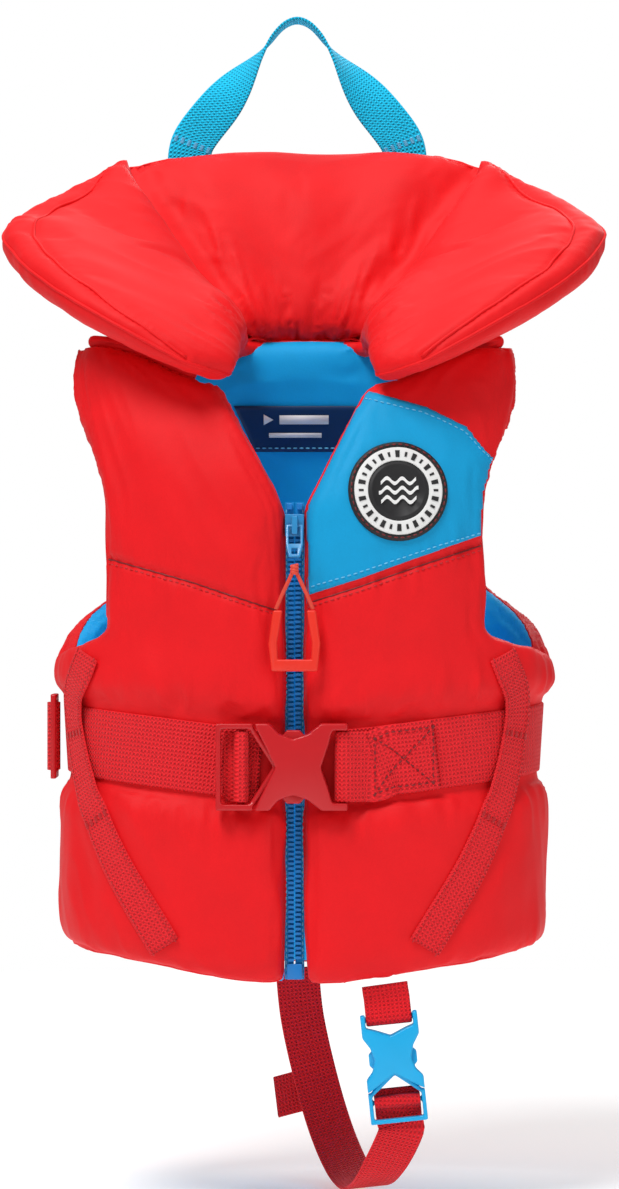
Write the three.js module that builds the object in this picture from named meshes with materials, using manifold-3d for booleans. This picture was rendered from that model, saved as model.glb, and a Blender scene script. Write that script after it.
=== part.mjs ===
// Infant life jacket: three foam panels, a pillow collar, a waist belt, a crotch strap and a front zip.
// Millimetres. The wearer faces -Y, +Z is up, and the wearer's left is +X.
// The origin is the middle of the torso opening, at the height of the hem.
import * as THREE from "three";
import { mergeVertices } from "three/addons/utils/BufferGeometryUtils.js";
import Module from "manifold-3d";

const wasm = await Module();
wasm.setup();

// ---- Driving dimensions ------------------------------------------------------------------------

const TORSO_HALF_WIDTH = 133; // reference surface of the vest, before the foam crowns out
const TORSO_HALF_DEPTH = 85;
const SHOULDER_HALF_DEPTH = 50; // the same surface at the shoulder line
const SECTION_POWER = 2.6; // squareness of the torso section
const SIDE_FLARE = 4; // the side wings stand out this much under the arm

const SHOULDER_Z = 337;
const ARMHOLE_Z = 170;
const ZIP_TOP_Z = 245;
const HEM_SIDE_Z = 6;
const HEM_FRONT_Z = -12;

const FRONT_HALF_WIDTH = 105; // zip to the front edge of an armhole
const SHOULDER_HALF_WIDTH = 124;
const NECK_HALF_WIDTH = 50;
const NECK_RISE = 5;
const BACK_HALF_WIDTH = 98; // narrowest part of the back, between the armholes

const ZIP_X = -5; // the zip lies a little off the middle of the torso
const ZIP_HALF_GAP = 5.6;

const PANEL_THICKNESS = 28; // front foam panels, at the middle
const BACK_THICKNESS = 20;
const SHOULDER_THICKNESS = 13; // the front foam thins towards the shoulder
const SHOULDER_STRAP_THICKNESS = 2.4;
const SHOULDER_STRAP_LIFT = 1.8; // the shoulder strips lie this far over the panels' ends
const RIM_THICKNESS = 4;
const PANEL_CROWN = 3; // the covers stand this far out of the reference surface
const EDGE_ROLL = 15; // width of the rounded edge of a panel
const EDGE_DROP = 7;
const ZIP_EDGE_DROP = 12;
const SKIN = 0.8; // cover fabric
const YOKE_OFFSET = 1.3; // the chest yoke lies this far over the shell
const LABEL_OFFSET = 3; // the size label lies this far in front of the curved lining
const CLEAR = 0.3; // gap between touching pieces

const WAIST_WEB = 38;
const CROTCH_WEB = 25;
const DIAGONAL_WEB = 19;
const HANDLE_WEB = 25;
const WEB_THICKNESS = 1.6;
const BELT_FRONT_Z = ZIP_TOP_Z - 139; // leaves the pull its run above the buckle
const BELT_SIDE_Z = BELT_FRONT_Z + 14;
const BELT_DENT = 6; // the belt presses the foam in by this much
const BELT_MARGIN = 4;
const DENT_RAMP = 10;

const COLLAR_THICKNESS = 34;
const COLLAR_RIM = 5;
const COLLAR_HEIGHT = 110; // neck seam to the top edge, behind the head
const COLLAR_HALF_SPREAD = 168;
const VALLEY = 0.42; // place of the fold between the head rest and a lobe, 0 to 1 from the middle

const HANDLE_HEIGHT = 72;
const HANDLE_HALF_SPAN = 63;

const BADGE_RADIUS = 27.5;
const BADGE_X = 51;
const BADGE_Z = ZIP_TOP_Z + 10;

const TRIGLIDE_LENGTH = 26;

// ---- Small helpers -----------------------------------------------------------------------------

const V = (x, y, z) => new THREE.Vector3(x, y, z);
const lerp = THREE.MathUtils.lerp;
const smooth = (x, from, to) => THREE.MathUtils.smoothstep(x, from, to);
const clamp01 = (x) => Math.min(1, Math.max(0, x));

const jacket = new THREE.Group();
jacket.name = "life_jacket";

function material(color, roughness) {
  return new THREE.MeshStandardMaterial({ color, roughness, metalness: 0 });
}

const FINISH = {
  redFabric: material(0xe02a34, 0.85),
  darkLining: material(0x0499d2, 0.85),
  blueFabric: material(0x07a9e1, 0.85),
  foam: material(0xe8e4da, 0.95),
  redWebbing: material(0xc92a30, 0.8),
  blueWebbing: material(0x2cbcea, 0.8),
  redPlastic: material(0xcf282f, 0.45),
  bluePlastic: material(0x35b9e6, 0.45),
  zipBlue: material(0x165890, 0.5),
  sliderBlue: material(0x4e92bb, 0.35),
  gripOrange: material(0xf5503c, 0.5),
  badgeDark: material(0x3a3838, 0.6),
  badgeWhite: material(0xf0f0f0, 0.6),
  labelNavy: material(0x1b3354, 0.7),
};

function place(name, geometry, finish, parent = jacket) {
  const mesh = new THREE.Mesh(geometry, finish);
  mesh.name = name;
  parent.add(mesh);
  return mesh;
}

// A closed solid between two grids of points. lower and upper give the point of column i and row j.
// A ring joins its last column to its first.
function gridSolid(columns, rows, lower, upper, ring = false) {
  const points = [];
  for (const side of [lower, upper]) {
    for (let j = 0; j < rows; j++) {
      for (let i = 0; i < columns; i++) {
        points.push(side(i, j));
      }
    }
  }
  const index = [];
  const at = (layer, i, j) => layer * columns * rows + j * columns + (i % columns);
  const quad = (a, b, c, d) => index.push(a, b, c, a, c, d);
  const spans = ring ? columns : columns - 1;
  for (let j = 0; j < rows - 1; j++) {
    for (let i = 0; i < spans; i++) {
      quad(at(1, i, j), at(1, i + 1, j), at(1, i + 1, j + 1), at(1, i, j + 1));
      quad(at(0, i, j), at(0, i, j + 1), at(0, i + 1, j + 1), at(0, i + 1, j));
    }
    if (!ring) {
      quad(at(0, 0, j), at(1, 0, j), at(1, 0, j + 1), at(0, 0, j + 1));
      quad(at(0, spans, j), at(0, spans, j + 1), at(1, spans, j + 1), at(1, spans, j));
    }
  }
  for (let i = 0; i < spans; i++) {
    quad(at(0, i, 0), at(0, i + 1, 0), at(1, i + 1, 0), at(1, i, 0));
    quad(at(0, i, rows - 1), at(1, i, rows - 1), at(1, i + 1, rows - 1), at(0, i + 1, rows - 1));
  }
  const flat = new Float32Array(points.flatMap((p) => p.toArray()));
  const geometry = new THREE.BufferGeometry();
  geometry.setAttribute("position", new THREE.BufferAttribute(flat, 3));
  if (signedVolume(points, index) < 0) {
    for (let k = 0; k < index.length; k += 3) {
      [index[k + 1], index[k + 2]] = [index[k + 2], index[k + 1]];
    }
  }
  geometry.setIndex(index);
  geometry.computeVertexNormals();
  return geometry;
}

function signedVolume(points, index) {
  let sum = 0;
  for (let k = 0; k < index.length; k += 3) {
    const [a, b, c] = [points[index[k]], points[index[k + 1]], points[index[k + 2]]];
    sum += a.dot(b.clone().cross(c));
  }
  return sum / 6;
}

// A flat strap: points along its middle, the side it faces at each point, its width and thickness.
function strap(points, faces, width, thickness = WEB_THICKNESS) {
  const across = points.map((p, k) => {
    const before = points[Math.max(0, k - 1)];
    const after = points[Math.min(points.length - 1, k + 1)];
    return after.clone().sub(before).cross(faces[k]).normalize();
  });
  const edge = (layer) => (i, k) =>
    points[k]
      .clone()
      .addScaledVector(across[k], (i - 0.5) * width)
      .addScaledVector(faces[k], (layer - 0.5) * thickness);
  return gridSolid(2, points.length, edge(0), edge(1));
}

function toSolid(geometry) {
  const bare = geometry.clone();
  bare.deleteAttribute("normal");
  bare.deleteAttribute("uv");
  const merged = mergeVertices(bare, 1e-4);
  return new wasm.Manifold(
    new wasm.Mesh({
      numProp: 3,
      vertProperties: new Float32Array(merged.attributes.position.array),
      triVerts: new Uint32Array(merged.index.array),
    }),
  );
}

function toGeometry(solid) {
  const mesh = solid.getMesh();
  const geometry = new THREE.BufferGeometry();
  geometry.setAttribute("position", new THREE.BufferAttribute(mesh.vertProperties, 3));
  geometry.setIndex(new THREE.BufferAttribute(mesh.triVerts, 1));
  geometry.computeVertexNormals();
  return geometry;
}

function join(...geometries) {
  return toGeometry(geometries.map(toSolid).reduce((whole, piece) => whole.add(piece)));
}

function cut(body, ...tools) {
  return toGeometry(tools.map(toSolid).reduce((whole, tool) => whole.subtract(tool), toSolid(body)));
}

// A prism over an outline in the first two axes, from low to high along the third.
function prism(outline, low, high) {
  const shape = new THREE.Shape(outline.map(([x, y]) => new THREE.Vector2(x, y)));
  const geometry = new THREE.ExtrudeGeometry(shape, { depth: high - low, bevelEnabled: false });
  return geometry.translate(0, 0, low);
}

function block(x0, x1, y0, y1, z0, z1) {
  const geometry = new THREE.BoxGeometry(x1 - x0, y1 - y0, z1 - z0);
  return geometry.translate((x0 + x1) / 2, (y0 + y1) / 2, (z0 + z1) / 2);
}

function mirrorOutline(half) {
  return [...half, ...half.slice().reverse().map(([x, y]) => [x, -y])];
}

// ---- The torso surface -------------------------------------------------------------------------

// Angles run round the torso from the middle of the front (0) through the wearer's left side (90
// degrees) to the back (180).
function torsoDepth(z) {
  const share = clamp01((z - ZIP_TOP_Z) / (SHOULDER_Z - ZIP_TOP_Z));
  return lerp(TORSO_HALF_DEPTH, SHOULDER_HALF_DEPTH, share ** 1.5);
}

function torsoWidth(z) {
  return TORSO_HALF_WIDTH + SIDE_FLARE * Math.exp(-(((z - ARMHOLE_Z + 20) / 20) ** 2));
}

function torsoPoint(angle, z, offset = 0) {
  const a = torsoWidth(z);
  const b = torsoDepth(z);
  const s = Math.abs(Math.sin(angle)) / a;
  const c = Math.abs(Math.cos(angle)) / b;
  const r = (s ** SECTION_POWER + c ** SECTION_POWER) ** (-1 / SECTION_POWER);
  const point = V(r * Math.sin(angle), -r * Math.cos(angle), z);
  return offset ? point.addScaledVector(torsoNormal(angle, z), offset) : point;
}

function torsoNormal(angle, z) {
  const step = 0.01;
  const round = torsoPoint(angle + step, z).sub(torsoPoint(angle - step, z));
  const up = torsoPoint(angle, z + step).sub(torsoPoint(angle, z - step));
  return round.cross(up).normalize();
}

// The angle at which the front of the torso reaches a distance x from the middle.
function frontAngle(x, z) {
  let low = -Math.PI / 2;
  let high = Math.PI / 2;
  for (let k = 0; k < 40; k++) {
    const middle = (low + high) / 2;
    if (torsoPoint(middle, z).x < x) low = middle;
    else high = middle;
  }
  return (low + high) / 2;
}

function hemHeight(angle) {
  return lerp(HEM_FRONT_Z, HEM_SIDE_Z, Math.sin(angle) ** 2);
}

function beltHeight(angle) {
  return Math.cos(angle) < 0 ? BELT_SIDE_Z : lerp(BELT_FRONT_Z, BELT_SIDE_Z, Math.sin(angle) ** 2);
}

function beltDent(angle, z) {
  const away = Math.abs(z - beltHeight(angle));
  const flat = WAIST_WEB / 2 + BELT_MARGIN;
  return BELT_DENT * (1 - smooth(away, flat, flat + DENT_RAMP));
}

// How far a padded edge has risen at a distance from its rim: a quarter circle.
function edgeRise(distance) {
  const left = 1 - clamp01(distance / EDGE_ROLL);
  return Math.sqrt(Math.max(0, 1 - left * left));
}

// ---- Panels of the vest ------------------------------------------------------------------------

function frontInnerX(z) {
  return lerp(ZIP_HALF_GAP, NECK_HALF_WIDTH, clamp01((z - ZIP_TOP_Z) / (SHOULDER_Z - ZIP_TOP_Z)));
}

function frontOuterX(z) {
  return lerp(FRONT_HALF_WIDTH, SHOULDER_HALF_WIDTH, smooth(z, ZIP_TOP_Z, SHOULDER_Z - 22));
}

// The shoulder end of a front panel slopes down to the neck, under the collar.
function frontTopZ(x) {
  return SHOULDER_Z - 20 * (1 - smooth(Math.abs(x), NECK_HALF_WIDTH - 5, SHOULDER_HALF_WIDTH - 20));
}

// A front panel as a function of u, from the zip to the side seam, and of the row of its grid.
function frontPanel(side) {
  const flat = WAIST_WEB / 2 + BELT_MARGIN;
  const seam = Math.PI / 2 - CLEAR / TORSO_HALF_WIDTH;
  const inner = (z) => frontAngle(ZIP_X + side * frontInnerX(z), z) * side;
  const outer = (z) =>
    lerp(
      seam,
      frontAngle(ZIP_X + side * frontOuterX(z), z) * side,
      smooth(z, ARMHOLE_Z - 8, ARMHOLE_Z + 8),
    );
  const heights = [
    (angle) => hemHeight(angle),
    (angle) => hemHeight(angle) + EDGE_ROLL / 3,
    (angle) => hemHeight(angle) + EDGE_ROLL,
    (angle) => beltHeight(angle) - flat - DENT_RAMP,
    (angle) => beltHeight(angle) - flat,
    (angle) => beltHeight(angle) + flat,
    (angle) => beltHeight(angle) + flat + DENT_RAMP,
    () => ARMHOLE_Z - 8,
    () => ARMHOLE_Z,
    () => ARMHOLE_Z + 8,
    () => lerp(ARMHOLE_Z, ZIP_TOP_Z, 0.5),
    () => ZIP_TOP_Z,
    () => lerp(ZIP_TOP_Z, SHOULDER_Z, 0.4),
    (angle, x) => frontTopZ(x) - EDGE_ROLL,
    (angle, x) => frontTopZ(x) - EDGE_ROLL / 3,
    (angle, x) => frontTopZ(x),
  ];
  const columns = [0, 0.05, 0.15, 0.38, 0.62, 0.85, 0.95, 1];
  // The height depends a little on the angle and the angle on the height, so both settle in steps.
  const spot = (u, row) => {
    let z = lerp(0, SHOULDER_Z, row / (heights.length - 1));
    let angle = 0;
    for (let k = 0; k < 12; k++) {
      angle = lerp(inner(z), outer(z), u) * side;
      z = heights[row](angle, torsoPoint(angle, z).x - ZIP_X);
    }
    return { angle, z };
  };
  const rise = (angle, z) => {
    const x = (torsoPoint(angle, z).x - ZIP_X) * side;
    const fromZip = x - frontInnerX(z);
    const fromSide = (outer(z) - angle * side) * TORSO_HALF_WIDTH;
    const fromHem = z - hemHeight(angle);
    const fromTop = frontTopZ(x) - z;
    const product = [fromZip, fromSide, fromHem, fromTop].map(edgeRise).reduce((a, b) => a * b);
    const drop = lerp(EDGE_DROP, ZIP_EDGE_DROP, clamp01(1 - fromZip / EDGE_ROLL));
    return { product, drop };
  };
  const face = (angle, z) => {
    const { product, drop } = rise(angle, z);
    return PANEL_CROWN - drop * (1 - product) - beltDent(angle, z) * product;
  };
  const full = (z) => lerp(PANEL_THICKNESS, SHOULDER_THICKNESS, smooth(z, SHOULDER_Z - 75, SHOULDER_Z - 25));
  const depth = (angle, z) => lerp(RIM_THICKNESS, full(z), rise(angle, z).product);
  return { columns, rows: heights.length, spot, face, depth };
}

function backHalfAngle(z) {
  const x = lerp(BACK_HALF_WIDTH, SHOULDER_HALF_WIDTH - 2, smooth(z, ZIP_TOP_Z, SHOULDER_Z - 22));
  const open = Math.PI - frontAngle(x, z);
  const seam = Math.PI / 2 + CLEAR / TORSO_HALF_WIDTH;
  return lerp(seam, open, smooth(z, ARMHOLE_Z - 8, ARMHOLE_Z + 44));
}

// The back reaches a little higher behind the neck, where the collar is sewn on.
function backTopZ(angle, z) {
  return SHOULDER_Z + NECK_RISE * (1 - smooth(Math.abs(torsoPoint(angle, z).x), 26, NECK_HALF_WIDTH));
}

function backPanel() {
  const flat = WAIST_WEB / 2 + BELT_MARGIN;
  const heights = [
    (angle) => hemHeight(angle),
    (angle) => hemHeight(angle) + EDGE_ROLL / 3,
    (angle) => hemHeight(angle) + EDGE_ROLL,
    () => BELT_SIDE_Z - flat - DENT_RAMP,
    () => BELT_SIDE_Z - flat,
    () => BELT_SIDE_Z + flat,
    () => BELT_SIDE_Z + flat + DENT_RAMP,
    () => ARMHOLE_Z - 8,
    () => ARMHOLE_Z + 8,
    () => ARMHOLE_Z + 26,
    () => ARMHOLE_Z + 44,
    () => lerp(ARMHOLE_Z + 44, SHOULDER_Z, 0.45),
    (angle, z) => backTopZ(angle, z) - EDGE_ROLL,
    (angle, z) => backTopZ(angle, z) - EDGE_ROLL / 3,
    (angle, z) => backTopZ(angle, z),
  ];
  const columns = [0, 0.03, 0.09, 0.2, 0.35, 0.5, 0.65, 0.8, 0.91, 0.97, 1];
  const spot = (u, row) => {
    let z = lerp(0, SHOULDER_Z, row / (heights.length - 1));
    let angle = 0;
    for (let k = 0; k < 12; k++) {
      const edge = backHalfAngle(z);
      angle = lerp(edge, 2 * Math.PI - edge, u);
      z = heights[row](angle, z);
    }
    return { angle, z };
  };
  const rise = (angle, z) => {
    const edge = backHalfAngle(z);
    const fromLeft = (angle - edge) * TORSO_HALF_WIDTH;
    const fromRight = (2 * Math.PI - edge - angle) * TORSO_HALF_WIDTH;
    return [fromLeft, fromRight, z - hemHeight(angle), backTopZ(angle, z) - z]
      .map(edgeRise)
      .reduce((a, b) => a * b);
  };
  const face = (angle, z) => {
    const product = rise(angle, z);
    return PANEL_CROWN - EDGE_DROP * (1 - product) - beltDent(angle, z) * product;
  };
  const depth = (angle, z) => lerp(RIM_THICKNESS, BACK_THICKNESS, rise(angle, z));
  return { columns, rows: heights.length, spot, face, depth };
}

// A layer of a panel between two depths: 0 is the outer face, 1 the inner face, and low and high
// add millimetres to each. The foam stops one grid line short of the rim.
function panelLayer(panel, shallow, deep, inset = 0) {
  const columns = panel.columns.slice(inset, panel.columns.length - inset);
  const rows = panel.rows - 2 * inset;
  const at = (layer) => (i, j) => {
    const { angle, z } = panel.spot(columns[i], j + inset);
    const face = panel.face(angle, z);
    const depth = panel.depth(angle, z);
    return torsoPoint(angle, z, face - layer.share * depth + layer.add);
  };
  return gridSolid(columns.length, rows, at(deep), at(shallow));
}

function addPanel(name, panel, shellFinish) {
  const shell = panelLayer(panel, { share: 0, add: 0 }, { share: 0, add: -SKIN });
  const lining = panelLayer(panel, { share: 1, add: SKIN }, { share: 1, add: 0 });
  const gap = SKIN + CLEAR;
  const foam = panelLayer(panel, { share: 0, add: -gap }, { share: 1, add: gap }, 1);
  place(`${name}_shell`, shell, shellFinish);
  place(`${name}_foam`, foam, FINISH.foam);
  place(`${name}_lining`, lining, FINISH.darkLining);
}

// A padded strip that joins a front panel to the back over the shoulder.
function addShoulderStrap(name, side) {
  const xs = [57, 70, 86, 102, 116];
  const frontEnd = (x) => {
    const z = frontTopZ(x);
    return torsoPoint(frontAngle(ZIP_X + side * x, z), z, -EDGE_DROP + PANEL_CROWN - RIM_THICKNESS / 2);
  };
  const backEnd = (x) => {
    const z = SHOULDER_Z;
    const angle = Math.PI - frontAngle(ZIP_X + side * x, z);
    return torsoPoint(angle, z, -EDGE_DROP + PANEL_CROWN - RIM_THICKNESS / 2);
  };
  const steps = 4;
  const at = (layer) => (i, j) => {
    const point = frontEnd(xs[i]).lerp(backEnd(xs[i]), j / (steps - 1));
    point.z += SHOULDER_STRAP_LIFT + layer * SHOULDER_STRAP_THICKNESS;
    return point;
  };
  place(name, gridSolid(xs.length, steps, at(0), at(1)), FINISH.redFabric);
}

// The blue chest yoke lies on the wearer's left front panel, above a slanting seam.
function addYoke(panel) {
  const columns = [0, 0.05, 0.12, 0.25, 0.4, 0.55, 0.7, 0.85, 0.94, 1];
  const rows = 10;
  const at = (offset) => (i, j) => {
    const u = columns[i];
    const low = lerp(ZIP_TOP_Z - 45, ZIP_TOP_Z - 14, u);
    const high = lerp(SHOULDER_Z - 30, SHOULDER_Z - 62, u);
    const z = lerp(low, high, j / (rows - 1));
    const x = ZIP_X + lerp(frontInnerX(z) + 4, frontOuterX(z) - 4, u);
    const angle = frontAngle(x, z);
    return torsoPoint(angle, z, panel.face(angle, z) + offset);
  };
  const skin = gridSolid(columns.length, rows, at(YOKE_OFFSET), at(YOKE_OFFSET + SKIN));
  place("chest_yoke", skin, FINISH.blueFabric);
}

// A disc, or a ring when inner is over 0, that lies on the chest over the yoke.
function chestDisc(panel, inner, outer, low, high) {
  const on = (dx, dz, offset) => {
    const z = BADGE_Z + dz;
    const angle = frontAngle(BADGE_X + dx, z);
    return torsoPoint(angle, z, panel.face(angle, z) + offset);
  };
  if (inner > 0) {
    const turns = 28;
    const at = (offset) => (i, j) => {
      const a = (2 * Math.PI * i) / turns;
      const r = lerp(inner, outer, j);
      return on(r * Math.cos(a), r * Math.sin(a), offset);
    };
    return gridSolid(turns, 2, at(low), at(high), true);
  }
  const side = 7;
  const at = (offset) => (i, j) => {
    const p = (2 * i) / (side - 1) - 1;
    const q = (2 * j) / (side - 1) - 1;
    return on(outer * p * Math.sqrt(1 - (q * q) / 2), outer * q * Math.sqrt(1 - (p * p) / 2), offset);
  };
  return gridSolid(side, side, at(low), at(high));
}

function addBadge(panel) {
  const base = YOKE_OFFSET + SKIN + 0.5;
  const top = base + 1.6;
  place("badge_base", chestDisc(panel, 0, BADGE_RADIUS, base, top), FINISH.badgeDark);
  const ring = chestDisc(panel, BADGE_RADIUS * 0.57, BADGE_RADIUS * 0.9, top + 0.5, top + 1.1);
  place("badge_ring", ring, FINISH.badgeWhite);
  const emblem = chestDisc(panel, BADGE_RADIUS * 0.2, BADGE_RADIUS * 0.38, top + 0.5, top + 1.1);
  place("badge_emblem", emblem, FINISH.badgeWhite);
}

// The size label is sewn to the lining of the back, under the neck seam.
function addLabel(panel) {
  const top = SHOULDER_Z - 22;
  const bottom = SHOULDER_Z - 49;
  const columns = 5;
  const at = (offset) => (i, j) => {
    const z = lerp(bottom, top, j);
    const half = lerp(25, 37, j);
    const x = -3 + lerp(-half, half, i / (columns - 1));
    const angle = Math.PI - frontAngle(x, z);
    return torsoPoint(angle, z, panel.face(angle, z) - panel.depth(angle, z) + offset);
  };
  place("size_label", gridSolid(columns, 2, at(-LABEL_OFFSET - 0.6), at(-LABEL_OFFSET)), FINISH.labelNavy);
}

// ---- Zip ---------------------------------------------------------------------------------------

const ZIP_FACE = PANEL_CROWN - ZIP_EDGE_DROP; // the panels' outer face where they meet the zip
const TAPE_LOW = ZIP_FACE - RIM_THICKNESS / 2 - 0.4;
const TAPE_HIGH = TAPE_LOW + SKIN;
const TEETH_LOW = TAPE_HIGH + CLEAR;
const TEETH_HIGH = TEETH_LOW + 2.2;
const TEETH_HALF_WIDTH = 3.5;
const SLIDER_HEIGHT = 12;
const ZIP_Y = -TORSO_HALF_DEPTH; // the reference surface along the zip

// A strip of the zip, at distances from its middle, between two heights and two offsets.
function zipStrip(side, near, far, z0, z1, low, high) {
  const x0 = ZIP_X + Math.min(side * near, side * far);
  const x1 = ZIP_X + Math.max(side * near, side * far);
  return block(x0, x1, ZIP_Y - high, ZIP_Y - low, z0, z1);
}

function addZip() {
  const bottom = HEM_FRONT_Z + 2;
  const top = ZIP_TOP_Z;
  for (const [name, side] of [["left", 1], ["right", -1]]) {
    const tape = zipStrip(side, 0.4, ZIP_HALF_GAP - CLEAR, bottom, top + 4, TAPE_LOW, TAPE_HIGH);
    place(`zip_tape_${name}`, tape, FINISH.zipBlue);
    const teeth = zipStrip(side, 0.2, TEETH_HALF_WIDTH, bottom + 9, top - 2, TEETH_LOW, TEETH_HIGH);
    place(`zip_teeth_${name}`, teeth, FINISH.zipBlue);
    const stop = zipStrip(side, 1.2, 4.4, top, top + 3.5, TEETH_LOW, TEETH_HIGH);
    place(`zip_stop_${name}`, stop, FINISH.zipBlue);
  }
  const box = block(ZIP_X - 4.4, ZIP_X + 4.4, ZIP_Y - TEETH_HIGH - 0.6, ZIP_Y - TEETH_LOW, bottom, bottom + 8.5);
  place("zip_bottom_box", box, FINISH.zipBlue);
}

// The slider straddles the teeth with a top plate and two flanges. Its bridge holds the pull tab.
const PLATE_HIGH = TEETH_HIGH + CLEAR + 1.6;
const BRIDGE_HIGH = PLATE_HIGH + 4.6;
const TAB_PIN_Z = ZIP_TOP_Z - 9;
const TAB_LENGTH = 20;
const GRIP_PIVOT_Z = TAB_PIN_Z - TAB_LENGTH - 3.5;
const GRIP_FRONT = ZIP_Y - PANEL_CROWN - 7; // the grip hangs just in front of the panels
const GRIP_BACK = GRIP_FRONT + 4;

function addSlider() {
  const top = ZIP_TOP_Z - 2.4;
  const bottom = top - SLIDER_HEIGHT;
  const low = ZIP_Y - TEETH_HIGH - CLEAR;
  const plate = block(ZIP_X - 5.2, ZIP_X + 5.2, ZIP_Y - PLATE_HIGH, low, bottom, top);
  const flange = (side) =>
    zipStrip(side, TEETH_HALF_WIDTH + CLEAR, 5.2, bottom, top, TAPE_HIGH + CLEAR, PLATE_HIGH);
  const bridge = cut(
    block(ZIP_X - 1.6, ZIP_X + 1.6, ZIP_Y - BRIDGE_HIGH, ZIP_Y - PLATE_HIGH + 0.5, bottom + 1, top - 1),
    block(ZIP_X - 3, ZIP_X + 3, ZIP_Y - BRIDGE_HIGH + 1.3, ZIP_Y - PLATE_HIGH, bottom + 2.6, top - 2.6),
  );
  place("zip_slider", join(plate, flange(-1), flange(1), bridge), FINISH.sliderBlue);
}

// The tab is a flat ring: its upper bar lies inside the slider's bridge, and a hole below takes
// the cord. It leans out so that the grip clears the panels.
function addPullTab() {
  const lean = new THREE.Group();
  const pinY = ZIP_Y - PLATE_HIGH - 1.7;
  lean.position.set(ZIP_X, pinY, TAB_PIN_Z);
  const run = GRIP_FRONT + 2 - pinY;
  lean.rotation.x = Math.atan2(run, TAB_LENGTH);
  jacket.add(lean);
  const outer = [[-4.6, 0.7], [4.6, 0.7], [4.6, -12], [3, -TAB_LENGTH], [-3, -TAB_LENGTH], [-4.6, -12]];
  const upperHole = [[-3.2, -0.7], [3.2, -0.7], [3.2, -11.5], [-3.2, -11.5]];
  const lowerHole = [[-1.6, -14.5], [1.6, -14.5], [1.6, -18.3], [-1.6, -18.3]];
  const ring = cut(prism(outer, -0.7, 0.7), prism(upperHole, -2, 2), prism(lowerHole, -2, 2));
  // The outline lies in the plane that faces the wearer's front.
  ring.rotateX(Math.PI / 2);
  place("zip_pull_tab", ring, FINISH.sliderBlue, lean);
}

// A loop of cord runs from a knot under the tab to both arms of the grip.
function addPullGrip() {
  const y = (GRIP_FRONT + GRIP_BACK) / 2;
  const topZ = GRIP_PIVOT_Z;
  const gripTop = topZ - 22;
  const leg = (side) => {
    const path = new THREE.LineCurve3(V(ZIP_X, y, topZ + 1), V(ZIP_X + side * 10, y, gripTop + 0.5));
    return rod(path, 1.1);
  };
  const knot = new THREE.SphereGeometry(2.3, 8, 6);
  knot.translate(ZIP_X, y, topZ);
  place("zip_pull_cord", join(knot, leg(-1), leg(1)), FINISH.gripOrange);
  const outline = mirrorRight([[7.6, 0], [11.6, 0], [14, -18], [12.4, -33]]);
  const hole = mirrorRight([[6.2, 1], [9.4, -17.5], [9.0, -26.5]]);
  const grip = cut(prism(outline, 0, 4), prism(hole, -1, 5));
  grip.rotateX(Math.PI / 2);
  grip.translate(ZIP_X, GRIP_BACK, gripTop);
  place("zip_pull_grip", grip, FINISH.gripOrange);
}

function rod(path, radius) {
  const section = new THREE.Shape().absarc(0, 0, radius, 0, 2 * Math.PI);
  return new THREE.ExtrudeGeometry(section, { steps: 1, curveSegments: 4, extrudePath: path });
}

function mirrorRight(half) {
  return [...half, ...half.slice().reverse().map(([x, y]) => [-x, y])];
}

// ---- Side release buckle -----------------------------------------------------------------------

// One buckle, in its own frame: u from the adjuster end to the belt loop end, v across, w out
// towards the front. Sizes are for webbing of 38 mm, and scale along each axis.
const BUCKLE_LENGTH = 71.5;
const BUCKLE_HALF_WIDTH = 23.5;
const BUCKLE_SLOT_HALF = 19.6;
const BUCKLE_RAIL = 3.2;
const LATCH_HINGE = [26.5, 14.5];

const FEMALE_HALF = [
  [32, 0], [22.5, 19.5], [21, 23.5], [29, 23.5], [34, 18], [42, 15.2], [50, 18], [57, 23.5],
  [71.5, BUCKLE_HALF_WIDTH], [71.5, BUCKLE_SLOT_HALF], [63, BUCKLE_SLOT_HALF], [61, 12], [57, 0],
];
const LATCH_OUTLINE = [
  [27.8, 12.6], [38, 12.9], [47, 9.6], [50, 10.2], [50, 14.5], [45.5, 19.8], [38.5, 19.8],
  [36.2, 17], [25.9, 16.6],
];

function femaleHalfShape() {
  const body = prism(mirrorOutline(FEMALE_HALF), 0, 10.5);
  const cavity = block(18, 51, -20.4, 20.4, 2, 8.5);
  const tail = block(63, 75, -BUCKLE_SLOT_HALF, BUCKLE_SLOT_HALF, -1, 12);
  const bar = block(67, 70, -20.5, 20.5, 3, 6);
  return join(cut(body, cavity, tail), bar);
}

function maleHalfShape() {
  const inside = BUCKLE_HALF_WIDTH - BUCKLE_RAIL;
  const frame = cut(
    block(0, 20.4, -BUCKLE_HALF_WIDTH, BUCKLE_HALF_WIDTH, 1.5, 9),
    block(2.8, 22, -inside, inside, 0, 10),
  );
  const middleBar = block(12.6, 15.2, -inside - 1, inside + 1, 3, 6);
  const chevron = prism(
    [[17.5, 21], [20.4, 21], [21.5, 20], [36, 0], [21.5, -20], [20.4, -21], [17.5, -21], [31, 0]],
    2.5,
    8,
  );
  const tongue = block(33, 48, -3.5, 3.5, 3.2, 7.2);
  return join(frame, middleBar, chevron, tongue);
}

function latchShape(side) {
  return prism(LATCH_OUTLINE.map(([u, v]) => [u, v * side]), 2.6, 7.9);
}

// Webbing through the adjuster: up from behind, over the middle bar and down again.
function adjusterWrap(web) {
  const route = [
    [4.5, -0.1], [7.8, 0.3], [10.2, 2], [10.9, 5.8], [12.4, 7.8], [15.4, 7.8], [16.9, 5.8], [17.2, 3],
    [17.3, 1],
  ];
  return uwStrap(route, web);
}

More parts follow.
